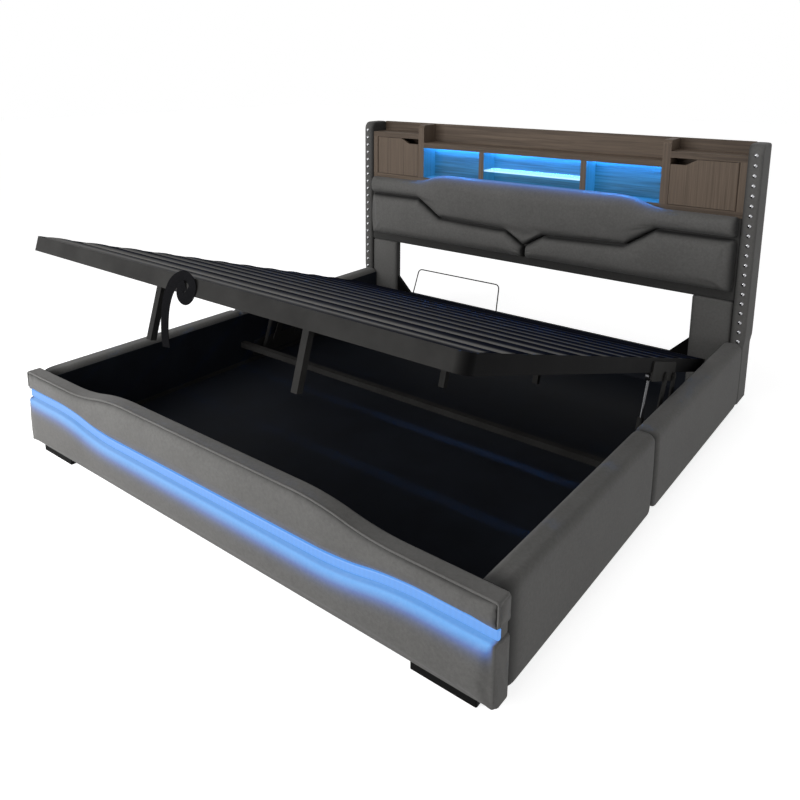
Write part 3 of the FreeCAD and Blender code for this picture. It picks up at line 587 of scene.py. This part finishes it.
def skin(name, points):
    """Closed mesh from rings of points: quads between rings, and a flat end on the outer rings.

    points has the indices (copy, ring, place round the ring), or only the last two."""
    points = points.reshape((-1,) + points.shape[-3:])
    index = np.arange(points[..., 0].size).reshape(points.shape[:3])
    here, there = index[:, :-1], index[:, 1:]
    quads = np.stack([here, np.roll(here, -1, 2), np.roll(there, -1, 2), there], -1).reshape(-1, 4)
    ends = np.concatenate([index[:, 0, ::-1], index[:, -1]])
    mesh = bpy.data.meshes.new(name)
    mesh.from_pydata(points.reshape(-1, 3).tolist(), [], quads.tolist() + ends.tolist())
    outward(mesh)
    mesh.shade_smooth()
    return mesh


def place_piece(mesh, material, slot, body, *nodes):
    """Object for a mesh that rides on a body and stands for some of the frame's nodes."""
    piece = bpy.data.objects.new(mesh.name, mesh)
    bpy.context.collection.objects.link(piece)
    mesh.materials.append(material)
    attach(piece, body)
    if nodes:
        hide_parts(*nodes)
    return piece


def cover_piece(name, points, fill, *nodes):
    """Piece of the grey cover on the bed's frame. fill is not used."""
    piece = place_piece(skin(name, points), cover, "grey_upholstery", "bed_frame", *nodes)
    return piece


def span(node):
    """Lowest and highest corner of a node as numpy arrays."""
    low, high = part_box(node)
    return np.array(low), np.array(high)


def set_mark(mesh, name, value):
    """Writes a number from 0 to 1 for each point into the mesh, under a name that finishes can read."""
    layer = mesh.attributes.new(name, "FLOAT", "POINT")
    layer.data.foreach_set("value", np.clip(value, 0, 1).astype(np.float32).ravel())


def fading(away, reach):
    """Strength of a mark at a distance from an edge: exp(-away / reach), and 1 on the edge."""
    return np.exp(-np.maximum(away, 0) / reach)


board_fill, foot_fill, head_fill = 0.9, 0.8, 0.75
print("piece helpers ready")


# %% [markdown]
# The side rails are padded boards in two lengths on each side. Seen from the side, their lower
# corners are well rounded, so the lower edge of the soft rectangle rises near each end. The top
# edges are softer than the lower ones, and the ends of each length draw in, which leaves a seam
# where two lengths meet, darkened further by painted shade, as is the foot end beside the footboard.
# One side could be mirrored to make the other. That turns a mesh inside out, so each rail is worked
# out from its own node instead.

# %% Side rails
# For the foot end and the head end of each length: how far its lower corner is rounded, and the
# reach and the depth of its drawn-in end.
corner_reach = {"front": (0.016, 0.045), "rear": (0.045, 0.045)}
end_shape = {"front": ((0.050, 0.022), (0.032, 0.018)), "rear": ((0.032, 0.018), (0.008, 0.004))}
rail_ring = soft_ring(6, [8, 20, 8, 20])
rail_rounding = np.array([0.024, 0.024, 0.010, 0.010])
rail_swell, flat_half, swell_end, full_inset = 0.003, 0.03, 0.03, 0.022
foot_shade_reach = 0.048
bow = 1 - np.cos(np.linspace(0.3, np.pi / 2, 9))

for side in SIDES:
    for part, (front_end, rear_end) in end_shape.items():
        node = side + "_" + part + "_rail"
        low, high = span(node)
        first, last = corner_reach[part]
        along = stations(low[1], high[1], 0.012, 0.030, *(low[1] + first * bow), *(high[1] - last * bow))
        rear_in = tuck(along, *rear_end, start=False)
        inset = tuck(along, *front_end, end=False) + rear_in
        seam_in = inset if part == "rear" else rear_in
        rise = tuck(along, first, first, end=False) + tuck(along, last, last, start=False)
        inner = 0.25 * seam_in
        left_in, right_in = (inset, inner) if side == "left" else (inner, inset)
        u, v = soft_bar(along, low[0] + left_in, high[0] - right_in, low[2] + np.maximum(rise, 0.5 * inset),
                        high[2] - 0.5 * seam_in, rail_rounding, rail_rounding, rail_ring)
        off_middle = u - (low[0] + high[0]) / 2
        upward = (v - low[2]) / (high[2] - low[2])
        swell = rail_swell * np.cos(upward * np.pi - np.pi / 2).clip(0) ** 0.7
        swell = swell * (np.abs(off_middle) > flat_half) * (1 - inset / swell_end)[:, None]
        u = u + np.sign(off_middle) * swell
        points = np.stack([u, np.broadcast_to(along[:, None], u.shape), v], -1)
        rail = cover_piece(node + "_cover", points, board_fill, node)
        # Painted shade, darkest where the ends draw in and at the foot end of the front lengths.
        shade = 0.9 * (inset / full_inset) ** 0.7
        if part == "front":
            shade = np.maximum(shade, 0.85 * np.exp(-((along - low[1]) / foot_shade_reach) ** 2))
        set_mark(rail.data, "painted_shade", shade[:, None] + 0 * u)


# %% [markdown]
# The headboard stands between two padded wings. A wing is the same soft rectangle carried upwards,
# and its top front corner is rounded, so the front edge moves back near the top. A flat outline
# pushed out to its thickness would be simpler, but its long edges would be sharp. The legs and the
# backing panel are plain padded boards.

# %% Wings, legs and backing panel
rail_top = span("right_front_rail")[1][2]
flush_depth, flush_run, outermost = 0.006, 0.04, 1.055


def standing_board(node, rounding, dark, corners=(0.010, 0.010), reach=0.010):
    """Padded board whose path runs upwards. Its front and rear edges draw in on the top corners.

    Below the top of the rails its outer face draws in to lie flush with them. dark gives the painted
    shade at each distance from the bed's middle."""
    low, high = span(node)
    marks = high[2] - max(corners) * (1 - np.cos(np.linspace(0.3, np.pi / 2, 11)))
    along = stations(low[2], high[2], 0.015, reach, *marks)
    inset = tuck(along, reach, 0.8 * reach)
    front, rear = [np.maximum(tuck(along, c, c, start=False), inset) for c in corners]
    flush = flush_depth * np.clip((rail_top + flush_run / 2 - along) / flush_run, 0, 1)
    left_in, right_in = (inset + flush * (np.abs(side_x) > outermost) for side_x in (low[0], high[0]))
    u, v = soft_bar(along, low[0] + left_in, high[0] - right_in, low[1] + front, high[1] - rear,
                    np.full(4, rounding), np.full(4, rounding), soft_ring(6, [16, 12, 16, 12]))
    points = np.stack([u, v, np.broadcast_to(along[:, None], u.shape)], -1)
    board = cover_piece(node + "_cover", points, board_fill, node)
    set_mark(board.data, "painted_shade", dark(np.abs(u)))


# Painted shade along the inner edge of each wing, broader on the left one, and along both edges of each
# leg.
leg_inner, wing_inner, leg_shade = 0.825, 1.0, 0.008
wing_shade = {"left": 0.026, "right": 0.010}
for side in SIDES:
    standing_board(side + "_wing", 0.014, lambda x: 0.75 * np.exp(-(x - wing_inner) / wing_shade[side]),
                   (0.040, 0.018))
    standing_board(side + "_headboard_leg", 0.016, lambda x: 0.7 * np.exp(-(x - leg_inner) / leg_shade)
                   + 0.7 * np.exp(-(wing_inner - x) / leg_shade))

low, high = span("headboard_panel")
points = cross_bar(low[0], high[0], 0.02, (0.006, 0.005), lambda x, inset: (
    low[1] + inset, high[1] - inset, low[2] + inset, high[2] - inset),
    4 * [0.012], soft_ring(6, [4, 20, 4, 20]))
panel = cover_piece("headboard_panel_cover", points, board_fill, "headboard_panel")
# Painted shade over the whole panel, which lies in the shade of the pads above it.
set_mark(panel.data, "painted_shade", np.full(points.shape[:2], 0.68))


# %% [markdown]
# Footboard and headboard have waved edges. A wave is flat at both ends and in the middle, and the
# S between them is made of two equal arcs. A spline through a few points would come close, but
# arcs keep the flat stretches flat.

# %% Waved edges
def wave_line(x, end, middle, inner, outer):
    """Height of a waved edge at each x.

    With run = outer - inner and rise = middle - end, each arc of the S has the radius
    (run^2 + rise^2) / (4 |rise|) and leaves its flat stretch by radius - sqrt(radius^2 - d^2) at
    the distance d from it."""
    run, rise = outer - inner, middle - end
    radius = (run ** 2 + rise ** 2) / (4 * abs(rise))
    across = np.clip(outer - np.abs(x), 0, run)
    near = np.minimum(across, run - across)
    arc = math.copysign(1, rise) * (radius - np.sqrt(radius ** 2 - near ** 2))
    return np.where(across < run / 2, end + arc, middle - arc)


upper_low, upper_high = span("footboard_upper_pad")
lower_low, lower_high = span("footboard_lower_pad")
core_low, core_high = span("footboard_core")
groove_tall, groove_open = 0.026, 0.031


def foot_top(x):
    """Top edge of the footboard: raised in the middle."""
    return wave_line(x, rail_top, upper_high[2], 0.400, 0.770)


def groove_top(x):
    """Upper edge of the lit groove: it dips in the middle."""
    return wave_line(x, lower_high[2] + groove_tall, upper_low[2], 0.475, 0.860)


print("footboard top", round(foot_top(0.0).item(), 3), "groove", round(groove_top(0.0).item(), 3))


# %% [markdown]
# The footboard has a core and two front pads with the lit groove between them. Each pad turns
# round the end of the core, so the last few millimetres of its path are deeper than the rest. One
# board with a groove cut into it would be simpler, but a cut leaves sharp edges, and here the cover
# is pulled round them. Beside the welt it lies in small gathers, which are a sine wave that dies
# away from the edge.

# %% Shape of the front pads
foot_ring = soft_ring(8, [5, 26, 5, 4])
lip = 0.003
return_start = core_high[0]
gather_length, gather_reach = 0.052, 0.016


def gathers(x, away, size):
    """Gathers beside a sewn edge: size * sin(2 pi x / length + 2.5 sin(9 x)) * exp(-away / reach)."""
    wave = np.sin(2 * np.pi * x / gather_length + 2.5 * np.sin(9 * x))
    return size * wave * fading(away, gather_reach)


def inside(x):
    """1 along the footboard, falling to 0 over the last centimetre before each end."""
    return np.clip((return_start - 0.001 - np.abs(x)) / 0.010, 0, 1)


def foot_pad(node, low_line, high_line, round_u, round_v, end_round, forward=0.0):
    """Front pad along the width, between two waved lines, with a return at each end.

    forward is how far its face stands out in front of the solid."""
    low, high = span(node)
    around = np.array([-2e-4, 2e-4])
    along = stations(low[0], high[0], 0.009, end_round, *(around - return_start), *(around + return_start))
    front = low[1] - forward + tuck(along, end_round, 0.6 * end_round)
    rear = np.where(np.abs(along) > return_start, high[1] - 0.001, core_low[1])
    inset = tuck(along, 0.010, 0.007)
    bottom, top = low_line(along) + inset, high_line(along) - inset
    u, v = soft_bar(along, front, rear, bottom, top, round_u, round_v, foot_ring)
    across = np.clip((v - bottom[:, None]) / (top - bottom)[:, None], 0, 1)
    crown = 0.004 * (1 - (2 * across - 1) ** 2) * (u < front[:, None] + 0.004)
    return widthwise(along, u - 0.5 * crown, v)


print("the pads turn the corner", round(return_start, 3), "m off the middle")


# %% Footboard
points = foot_pad("footboard_upper_pad", groove_top, lambda x: foot_top(x) - lip,
                  (0.003, 0.010, 0.008, 0.004), (0.003, 0.012, 0.008, 0.004), 0.010)
x, y, z = np.moveaxis(points, -1, 0)
from_welt = np.minimum(foot_top(x) - lip - z, upper_high[0] - 0.004 - np.abs(x))
y += gathers(x, from_welt, 0.0007) * (y < upper_low[1] + 0.006)
upper_pad = cover_piece("footboard_upper_cushion", points, foot_fill, "footboard_upper_pad")
set_mark(upper_pad.data, "glow", 0.5 * fading(z - groove_top(x), 0.006) * inside(x))
# Painted shade in a dark line beside the welt.
set_mark(upper_pad.data, "painted_shade", 0.9 * fading(from_welt, 0.006) * (np.abs(x) < return_start))

points = foot_pad("footboard_lower_pad", lambda x: 0 * x + lower_low[2] - 0.004,
                  lambda x: groove_top(x) - groove_open, (0.003, 0.010, 0.005, 0.004),
                  (0.003, 0.012, 0.006, 0.004), 0.013, forward=0.008)
x, y, z = np.moveaxis(points, -1, 0)
feet_low, feet_high = span("front_feet")
under = (z < core_low[2] + 0.001) & (np.abs(x) < feet_high[0] + 0.004)
y[under] = np.minimum(y[under], feet_low[1] - 0.001)
lower_pad = cover_piece("footboard_lower_cushion", points, foot_fill, "footboard_lower_pad")
away = np.maximum(groove_top(x) - groove_open - z, 0)
lit = np.exp(-(away / 0.032) ** 2) * (1 - 0.22 * np.exp(-(away / 0.003) ** 2))
set_mark(lower_pad.data, "glow", lit * inside(x))

points = cross_bar(core_low[0], core_high[0], 0.012, (0.006, 0.005), lambda x, inset: (
    core_low[1] + inset, core_high[1] - inset, core_low[2] + inset, foot_top(x) - lip - inset),
    (0.010, 0.002, 0.004, 0.006), foot_ring)
core = cover_piece("footboard_core_cover", points, board_fill, "footboard_core")
set_mark(core.data, "glow", 0.6 * (points[..., 1] < core_low[1] + 0.008) * inside(points[..., 0]))

points = cross_bar(-return_start, return_start, 0.009, (0.004, 0.003), lambda x, inset: (
    upper_low[1] + 0.006 + inset, core_low[1] - 0.0005, groove_top(x) - groove_open + 0.002,
    groove_top(x) - 0.001), 4 * [0.004], soft_ring(4, [4, 8, 4, 2]))
place_piece(skin("groove_diffuser", points), groove_light, "light_strip", "bed_frame",
            "footboard_light_strip")
print("footboard pieces:", upper_pad.name, lower_pad.name, core.name)


# %% [markdown]
# A band of cover runs along the top of the footboard, and a thin welt is sewn in where it meets
# the front. The welt is a round profile carried along the edge: up one end, along the wave and
# down the other end. A bevelled curve would look the same, but the wave is a formula here already.

# %% Top band and welt
def tube(path, normal, radius, sides=10):
    """Round profile along a flat path: centre + radius * (cos a * side + sin a * normal).

    The side direction is the path's own direction crossed with the normal of its plane."""
    step = np.gradient(path, axis=0)
    step /= np.linalg.norm(step, axis=1, keepdims=True)
    side = np.cross(step, normal)
    angle = np.linspace(0, 2 * np.pi, sides, endpoint=False)[None, :, None]
    return path[:, None] + radius * (np.cos(angle) * side[:, None] + np.sin(angle) * np.asarray(normal))


points = cross_bar(-upper_high[0] + 0.001, upper_high[0] - 0.001, 0.009, (0.006, 0.005), lambda x, inset: (
    upper_low[1] + 0.002 + inset, upper_high[1] - 0.001 - inset, foot_top(x) - inset - 0.008,
    foot_top(x) - inset + 0.0005), (0.008, 0.002, 0.002, 0.002), soft_ring(6, [14, 3, 4, 3]))
cover_piece("footboard_top_band", points, board_fill)

welt_radius, welt_corner, welt_under = 0.0030, 0.008, 0.001
edge_x = upper_high[0] - 0.0025
corner_z = rail_top - welt_corner - welt_under
right_up = np.linspace(lower_high[2] + groove_tall + 0.012, corner_z, 14)[:-1]
turn = np.linspace(0, np.pi / 2, 7)
run = np.linspace(edge_x - welt_corner, -edge_x + welt_corner, 300)[1:-1]
turn_x = edge_x - welt_corner + welt_corner * np.cos(turn)
turn_z = corner_z + welt_corner * np.sin(turn)
welt_x = np.concatenate([np.full(len(right_up), edge_x), turn_x, run])
welt_z = np.concatenate([right_up, turn_z, foot_top(run) - welt_under])
path = np.stack([welt_x, np.full(len(welt_x), upper_low[1] + 0.0012), welt_z], -1)
left_end = path[:len(right_up) + len(turn)][::-1] * (-1, 1, 1)
path = np.concatenate([path, left_end])
cover_piece("footboard_welt", tube(path, (0, 1, 0), welt_radius), None)
print("welt points:", len(path))


# %% [markdown]
# The headboard carries one long upper pad and two lower pads, which meet along a bent seam, with
# straight runs between its knees. They are the fullest cushions of the bed. A pad could be sculpted
# by hand, but the seam has to be the same line for all three. So each starts as a soft bar between
# two lines, a little slimmer than the finished pad, and is then inflated as cloth.

# %% Headboard pads
seam_knees = [0.0, 0.105, 0.515, 0.655, 1.0]
seam_heights = np.array([0.612, 0.678, 0.692, 0.787, 0.787])
seam_open, knee_soft = 0.011, 0.006
head_high = span("headboard_upper_pad")[1]


def seam_line(x, lift):
    """Height of the bent seam at each x, smoothed by averaging over a short stretch of it."""
    near = np.abs(x)
    before, here, after = (np.interp(place, seam_knees, seam_heights + lift)
                           for place in (np.abs(near - knee_soft), near, near + knee_soft))
    return (before + 2 * here + after) / 4


def pad_top(x):
    """Top edge of the upper pad: raised in the middle."""
    return wave_line(x, 0.873, head_high[2], 0.470, 0.700)


def head_pad(node, low_line, high_line, round_u, round_v, steps):
    """Pad on the headboard panel, and its painted shade along its seams and ends: its ends draw back, and
    its middle is crowned.
    """
    low, high = span(node)
    along = stations(low[0], high[0], 0.008, 0.034)
    front = low[1] + tuck(along, 0.034, 0.030)
    inset = tuck(along, 0.014, 0.010)
    bottom, top = low_line(along) + inset, high_line(along) - inset
    u, v = soft_bar(along, front + 0.006, high[1], bottom, top, round_u, round_v,
                    soft_ring(8, [4, steps, 4, 4]))
    across = np.clip((v - bottom[:, None]) / (top - bottom)[:, None], 0, 1)
    on_face = u < high[1] - 0.02
    from_end = np.minimum(along - low[0], high[0] - along)[:, None]
    seam = np.minimum(v - bottom[:, None], from_end)
    if node != "headboard_upper_pad":
        seam = np.minimum(seam, top[:, None] - v)
    crown = 0.010 * (4 * across * (1 - across)) * on_face
    crown = crown - gathers(along[:, None], seam - 0.010, 0.0008) * on_face
    # Painted shade that fades away from the seams and the ends.
    return widthwise(along, u - crown, v), 0.85 * fading(seam, 0.009)


points, painted_shade = head_pad("headboard_upper_pad", lambda x: seam_line(x, 0.0), pad_top,
                          (0.004, 0.026, 0.030, 0.004), (0.004, 0.030, 0.024, 0.004), 26)
upper = cover_piece("headboard_upper_cushion", points, head_fill, "headboard_upper_pad")
set_mark(upper.data, "painted_shade", painted_shade)
shelf_glow = 0.5 * np.exp(-(pad_top(points[..., 0]) - points[..., 2]) / 0.010)
set_mark(upper.data, "glow", shelf_glow * np.exp(-(points[..., 0] / 0.62) ** 8))
pads = [upper]
for side in SIDES:
    node = "headboard_lower_" + side + "_pad"
    bottom = span(node)[0][2]
    points, painted_shade = head_pad(node, lambda x: 0 * x + bottom, lambda x: seam_line(x, -seam_open),
                              (0.004, 0.030, 0.028, 0.004), (0.004, 0.024, 0.026, 0.004), 22)
    pads.append(cover_piece("headboard_lower_" + side + "_cushion", points, head_fill, node))
    set_mark(pads[-1].data, "painted_shade", painted_shade)
print("headboard pads:", [pad.name for pad in pads])


# %% [markdown]
# A real pad is foam under a sewn cover: it bulges in the middle and is held along its seams. One more
# term in the formula could draw that, but pressure under a cover finds it by itself at every corner,
# so Blender's cloth does the last of the padding. The rear of a pad is pinned, the inside gets
# pressure, and a few steps let the cover find its shape. How far a point may go is capped, so a pad
# stays in the room it has. The result goes into the mesh, and the modifier is taken off.

# %% Inflate the pads
cloth_steps, cloth_pressure, cloth_cap = 20, 4.0, 0.006
# How far each kind of pad is pinned in front of what it lies against.
head_pinned, upper_pinned, lower_pinned = 0.006, 0.003, 0.002


def inflate(pad, rear):
    """Swells a closed pad under pressure; a point moves by cap * tanh(moved / cap).

    Points behind the plane y = rear are pinned. The result is the longest way that a point moved."""
    mesh = pad.data
    start = point_array(mesh)
    held = np.flatnonzero(start[:, 1] > rear)
    pad.vertex_groups.new(name="held").add(held.tolist(), 1.0, "REPLACE")
    cloth = pad.modifiers.new("cloth", "CLOTH")
    cloth.settings.vertex_group_mass = "held"
    cloth.settings.use_pressure = True
    cloth.settings.uniform_pressure_force = cloth_pressure
    cloth.settings.effector_weights.gravity = 0
    cloth.collision_settings.use_collision = False
    cloth.point_cache.frame_start = 1
    cloth.point_cache.frame_end = cloth_steps
    for step in range(1, cloth_steps + 1):
        bpy.context.scene.frame_set(step)
    shaped = pad.evaluated_get(bpy.context.evaluated_depsgraph_get()).to_mesh()
    moved = point_array(shaped) - start
    length = np.maximum(np.linalg.norm(moved, axis=1, keepdims=True), 1e-9)
    kept = moved * (cloth_cap * np.tanh(length / cloth_cap) / length)
    pad.modifiers.remove(cloth)
    pad.vertex_groups.clear()
    mesh.vertices.foreach_set("co", (start + kept).ravel())
    mesh.update()
    bpy.context.scene.frame_set(1)
    return float(np.linalg.norm(kept, axis=1).max())


rears = 3 * [head_high[1] - head_pinned] + [core_low[1] - upper_pinned, feet_low[1] - lower_pinned]
for pad, rear in zip(pads + [upper_pad, lower_pad], rears):
    print(pad.name, "swelled by", round(1000 * inflate(pad, rear), 1), "mm")


# %% [markdown]
# A row of bright round studs runs up the front of each wing, like the nails that hold a cover. Forty
# small spheres would do, but they would be forty objects. One stud is a dome instead, a quarter of
# an ellipse turned round its own axis, and all studs of a wing are one array with three indices: the
# stud, the ring of the dome and the place round it.

# %% Studs
stud_count, stud_height = 20, 0.0065


def dome_studs(name, node):
    """Domes in a row: radius r * cos(a), standing out by h * sin(a).

    The angle a runs from a little below 0, inside the cloth, to nearly a right angle."""
    low, high = span(node)
    radius = (high[0] - low[0]) / 2
    rows = np.linspace(low[2] + radius, high[2] - radius, stud_count)[:, None, None]
    rise = np.linspace(-0.15, np.pi / 2 - 0.06, 8)[None, :, None]
    turn = np.linspace(0, 2 * np.pi, 18, endpoint=False)[None, None, :]
    x = (low[0] + high[0]) / 2 + radius * np.cos(rise) * np.cos(turn)
    y = high[1] - stud_height * np.sin(rise)
    z = rows + radius * np.cos(rise) * np.sin(turn)
    return skin(name, np.stack(np.broadcast_arrays(x, y, z), -1))


for side in SIDES:
    node = side + "_wing_studs"
    place_piece(dome_studs(node + "_domes", node), chrome, "stud_chrome", "bed_frame", node)
print("studs set on both wings")


# %% [markdown]
# The platform lies at a slope at rest. A point on it is given by how far it is from the foot end
# and how high it is over the lower face, and one small function turns these into a place on the
# bed. The slats are thin arched sheets. A bent plane with a thickness would do, but its edges would
# be cut square. Here the profile runs over the arch and back under it, with rolled edges, and all
# twelve slats are one array, like the studs. Their coat is tinted blue as a painted reflection of the
# shelf's light, and a painted highlight runs along the edge that faces the foot, most on the first
# slats and on the left.

# %% Places on the platform
# The platform's slope at rest, and y and z of its lower edge at the foot.
slope = math.radians(17.53)
foot_edge = np.array([-1.105983, 0.829098])


def on_platform(x, from_foot, above):
    """Place of a platform point: x as it is, then turned by the slope about the foot edge."""
    y = foot_edge[0] + from_foot * math.cos(slope) + above * math.sin(slope)
    z = foot_edge[1] - from_foot * math.sin(slope) + above * math.cos(slope)
    return np.stack(np.broadcast_arrays(x, y, z), -1)


print("platform's foot edge:", on_platform(0.0, 0.0, 0.0).tolist())


# %% Slats
slat_first, slat_pitch, slat_wide, slat_count = 0.031, 0.16446, 0.14046, 12
slat_top, slat_ledge, slat_crown, slat_sheet, slat_roll = 0.056, 0.042, 0.005, 0.0012, 0.007
# Place and width of the painted highlight along each slat's foot edge, in metres across the slat.
highlight_place, highlight_behind_rail, highlight_least = 0.008, 0.024, 0.05
highlight_wide, highlight_wide_near_foot, highlight_wide_left = 0.007, 0.007, 0.026


def arched_slats(name, half_length):
    """Arch over the width w, at the place t of it: top - crown * (2 t - 1)^2, with rolled edges.

    The painted highlight along the edge is exp(-((t w - middle) / wide)^2), weaker from slat to slat."""
    t = 0.5 - 0.5 * np.cos(np.linspace(0, np.pi, 25))
    roll = tuck(t * slat_wide, slat_roll, slat_top - slat_crown - slat_ledge)
    arch = slat_top - slat_crown * (2 * t - 1) ** 2 - roll
    inner = np.maximum(arch - slat_sheet, slat_ledge)
    narrow = 0.5 + (t - 0.5) * (1 - 2 * slat_sheet / slat_wide)
    over = np.concatenate([t, narrow[::-1]]) * slat_wide
    above = np.concatenate([arch, inner[::-1]])
    start = slat_first + slat_pitch * np.arange(slat_count)
    ends = half_length * np.array([-1, -0.999, 0.999, 1])
    mesh = skin(name, on_platform(ends[None, :, None], start[:, None, None] + over, above))
    # Painted highlight along the foot edge: strongest on the first slats, wider on the left, and set
    # further in on the first slat.
    near_foot = np.linspace(1, 0, slat_count)[:, None, None]
    left = (0.5 - 0.5 * ends / half_length)[None, :, None]
    wide = highlight_wide + highlight_wide_near_foot * near_foot + highlight_wide_left * near_foot * left
    middle = highlight_place + highlight_behind_rail * (near_foot == 1)
    set_mark(mesh, "edge", (highlight_least + (1 - highlight_least) * near_foot) * np.exp(-((over - middle) / wide) ** 2))
    return mesh


# Near-black coat tinted blue: a painted reflection of the shelf's blue light.
slat_steel = finish("slat_steel", speckle, 900.0, ((0.005, 0.006, 0.011), (0.008, 0.010, 0.018)),
                    (0.55, 0.65), (0.08, 0.0002), Specular_IOR_Level=0.0)
# Painted highlight: a paler colour along the marked foot edge.
tint(slat_steel, marked(slat_steel.node_tree, "edge"), (0.165, 0.161, 0.154, 1))
slats = place_piece(arched_slats("slat_sheets", span("slats")[1][0]), slat_steel, "black_steel",
                    "platform", "slats")
print("slats:", len(slats.data.polygons), "faces")


# %% [markdown]
# The wire bail at the head end keeps the mattress in place. It stands on the last slat and leans
# with the platform. A curve with a bevel could make the wire. The round profile of the welt does it
# too, along a path of two legs, two bends and a straight top, and it gives a mesh at once.

# %% Wire bail
bail_low, bail_high = span("mattress_bail")
bail_middle = (bail_low[0] + bail_high[0]) / 2
bail_from_foot, slat_at_bail, bail_tall, bail_bend = 1.9555, 0.0545, 0.135, 0.022
bail_foot_half, bail_top_half, bail_lift, wire_radius = 0.256, 0.246, 0.001, 0.0029

lean = math.atan2(bail_foot_half - bail_top_half, bail_tall)
hub_x = bail_top_half - bail_bend * math.tan((np.pi / 2 - lean) / 2)
hub_up = slat_at_bail + bail_tall - bail_bend
turn = np.linspace(lean, np.pi / 2, 9)
bend_x, bend_up = hub_x + bail_bend * np.cos(turn), hub_up + bail_bend * np.sin(turn)
leg_x = np.linspace(bail_foot_half, bend_x[0], 24)[:-1]
leg_up = np.linspace(slat_at_bail + bail_lift, bend_up[0], 24)[:-1]
half_x, half_up = np.concatenate([leg_x, bend_x]), np.concatenate([leg_up, bend_up])
top_x = np.linspace(half_x[-1], -half_x[-1], 40)[1:-1]
wire_x = np.concatenate([half_x, top_x, -half_x[::-1]])
wire_up = np.concatenate([half_up, np.full(len(top_x), half_up[-1]), half_up[::-1]])
path = on_platform(bail_middle + wire_x, bail_from_foot, wire_up)
lengthwise = (0.0, math.cos(slope), -math.sin(slope))
place_piece(skin("mattress_bail_wire", tube(path, lengthwise, wire_radius, 12)), plastic, "black_steel",
            "platform", "mattress_bail")
print("bail wire", round(np.linalg.norm(np.diff(path, axis=0), axis=1).sum().item(), 3), "m long")


# %% [markdown]
# The pull strap is flat webbing that loops over the edge of the foot rail and hangs down in one
# tail. Cloth could be dropped over the rail, but where the loop comes to lie would be left to chance.
# So the strap is modelled directly, as a flat profile along a path. The path starts as a few knots,
# and cutting its corners four times turns these into a smooth curve. Where it lies on the rail it
# leans back with it.

# %% Shape of the strap
def cut_corners(knots, times):
    """Smooth path from knots: each pass puts two points on each step, at a quarter and three quarters."""
    for _ in range(times):
        pair = np.stack([0.75 * knots[:-1] + 0.25 * knots[1:], 0.25 * knots[:-1] + 0.75 * knots[1:]], 1)
        knots = np.concatenate([knots[:1], pair.reshape(-1, 3), knots[-1:]])
    return knots


def ribbon(path, wide, thick):
    """Flat rounded profile along a path that faces the foot of the bed.

    The width direction is the path's own direction crossed with the bed's length."""
    step = np.gradient(path, axis=0)
    step /= np.linalg.norm(step, axis=1, keepdims=True)
    width = np.cross(step, (0.0, 1.0, 0.0))
    width /= np.linalg.norm(width, axis=1, keepdims=True)
    face = np.cross(step, width)
    rounding = 4 * [thick / 2]
    u, v = soft_bar(np.zeros(len(path)), -wide / 2, wide / 2, -thick / 2, thick / 2, rounding, rounding,
                    soft_ring(3, [10, 1, 10, 1]))
    return path[:, None] + u[..., None] * width[:, None] + v[..., None] * face[:, None]


print("strap helpers ready")


# %% Pull strap
strap_wide, strap_thick = 0.038, 0.0022
tail_off_rail, coil_off_rail = 0.0055, 0.0025
# A point that leans back by one steps this far to the left, to keep its place in the picture.
left_per_back = 0.81
# The knots as x and z, from the end of the tail, up to the rail and round the coil.
strap_knots = [(-0.135, 0.640), (-0.140, 0.679), (-0.137, 0.725), (-0.130, 0.768), (-0.113, 0.816),
               (-0.088, 0.856), (-0.045, 0.880), (-0.012, 0.878), (0.005, 0.860), (-0.007, 0.830),
               (-0.035, 0.812), (-0.056, 0.820), (-0.052, 0.843), (-0.030, 0.853)]

knot_x, knot_z = np.array(strap_knots).T
lean_back = math.tan(slope) * np.maximum(knot_z - foot_edge[1], 0)
off_rail = np.linspace(tail_off_rail, coil_off_rail, len(strap_knots))
knots = np.stack([knot_x - left_per_back * lean_back, foot_edge[0] + lean_back - off_rail, knot_z], -1)
strap_path = cut_corners(knots, 4)
webbing = finish("black_webbing", pebble, 900.0, ((0.004, 0.004, 0.0045), (0.010, 0.010, 0.011)),
                 (0.75, 0.88), (0.35, 0.0005), Specular_IOR_Level=0.0)
strap = place_piece(skin("pull_strap_webbing", ribbon(strap_path, strap_wide, strap_thick)), webbing,
                    "black_webbing", "platform", "pull_strap")
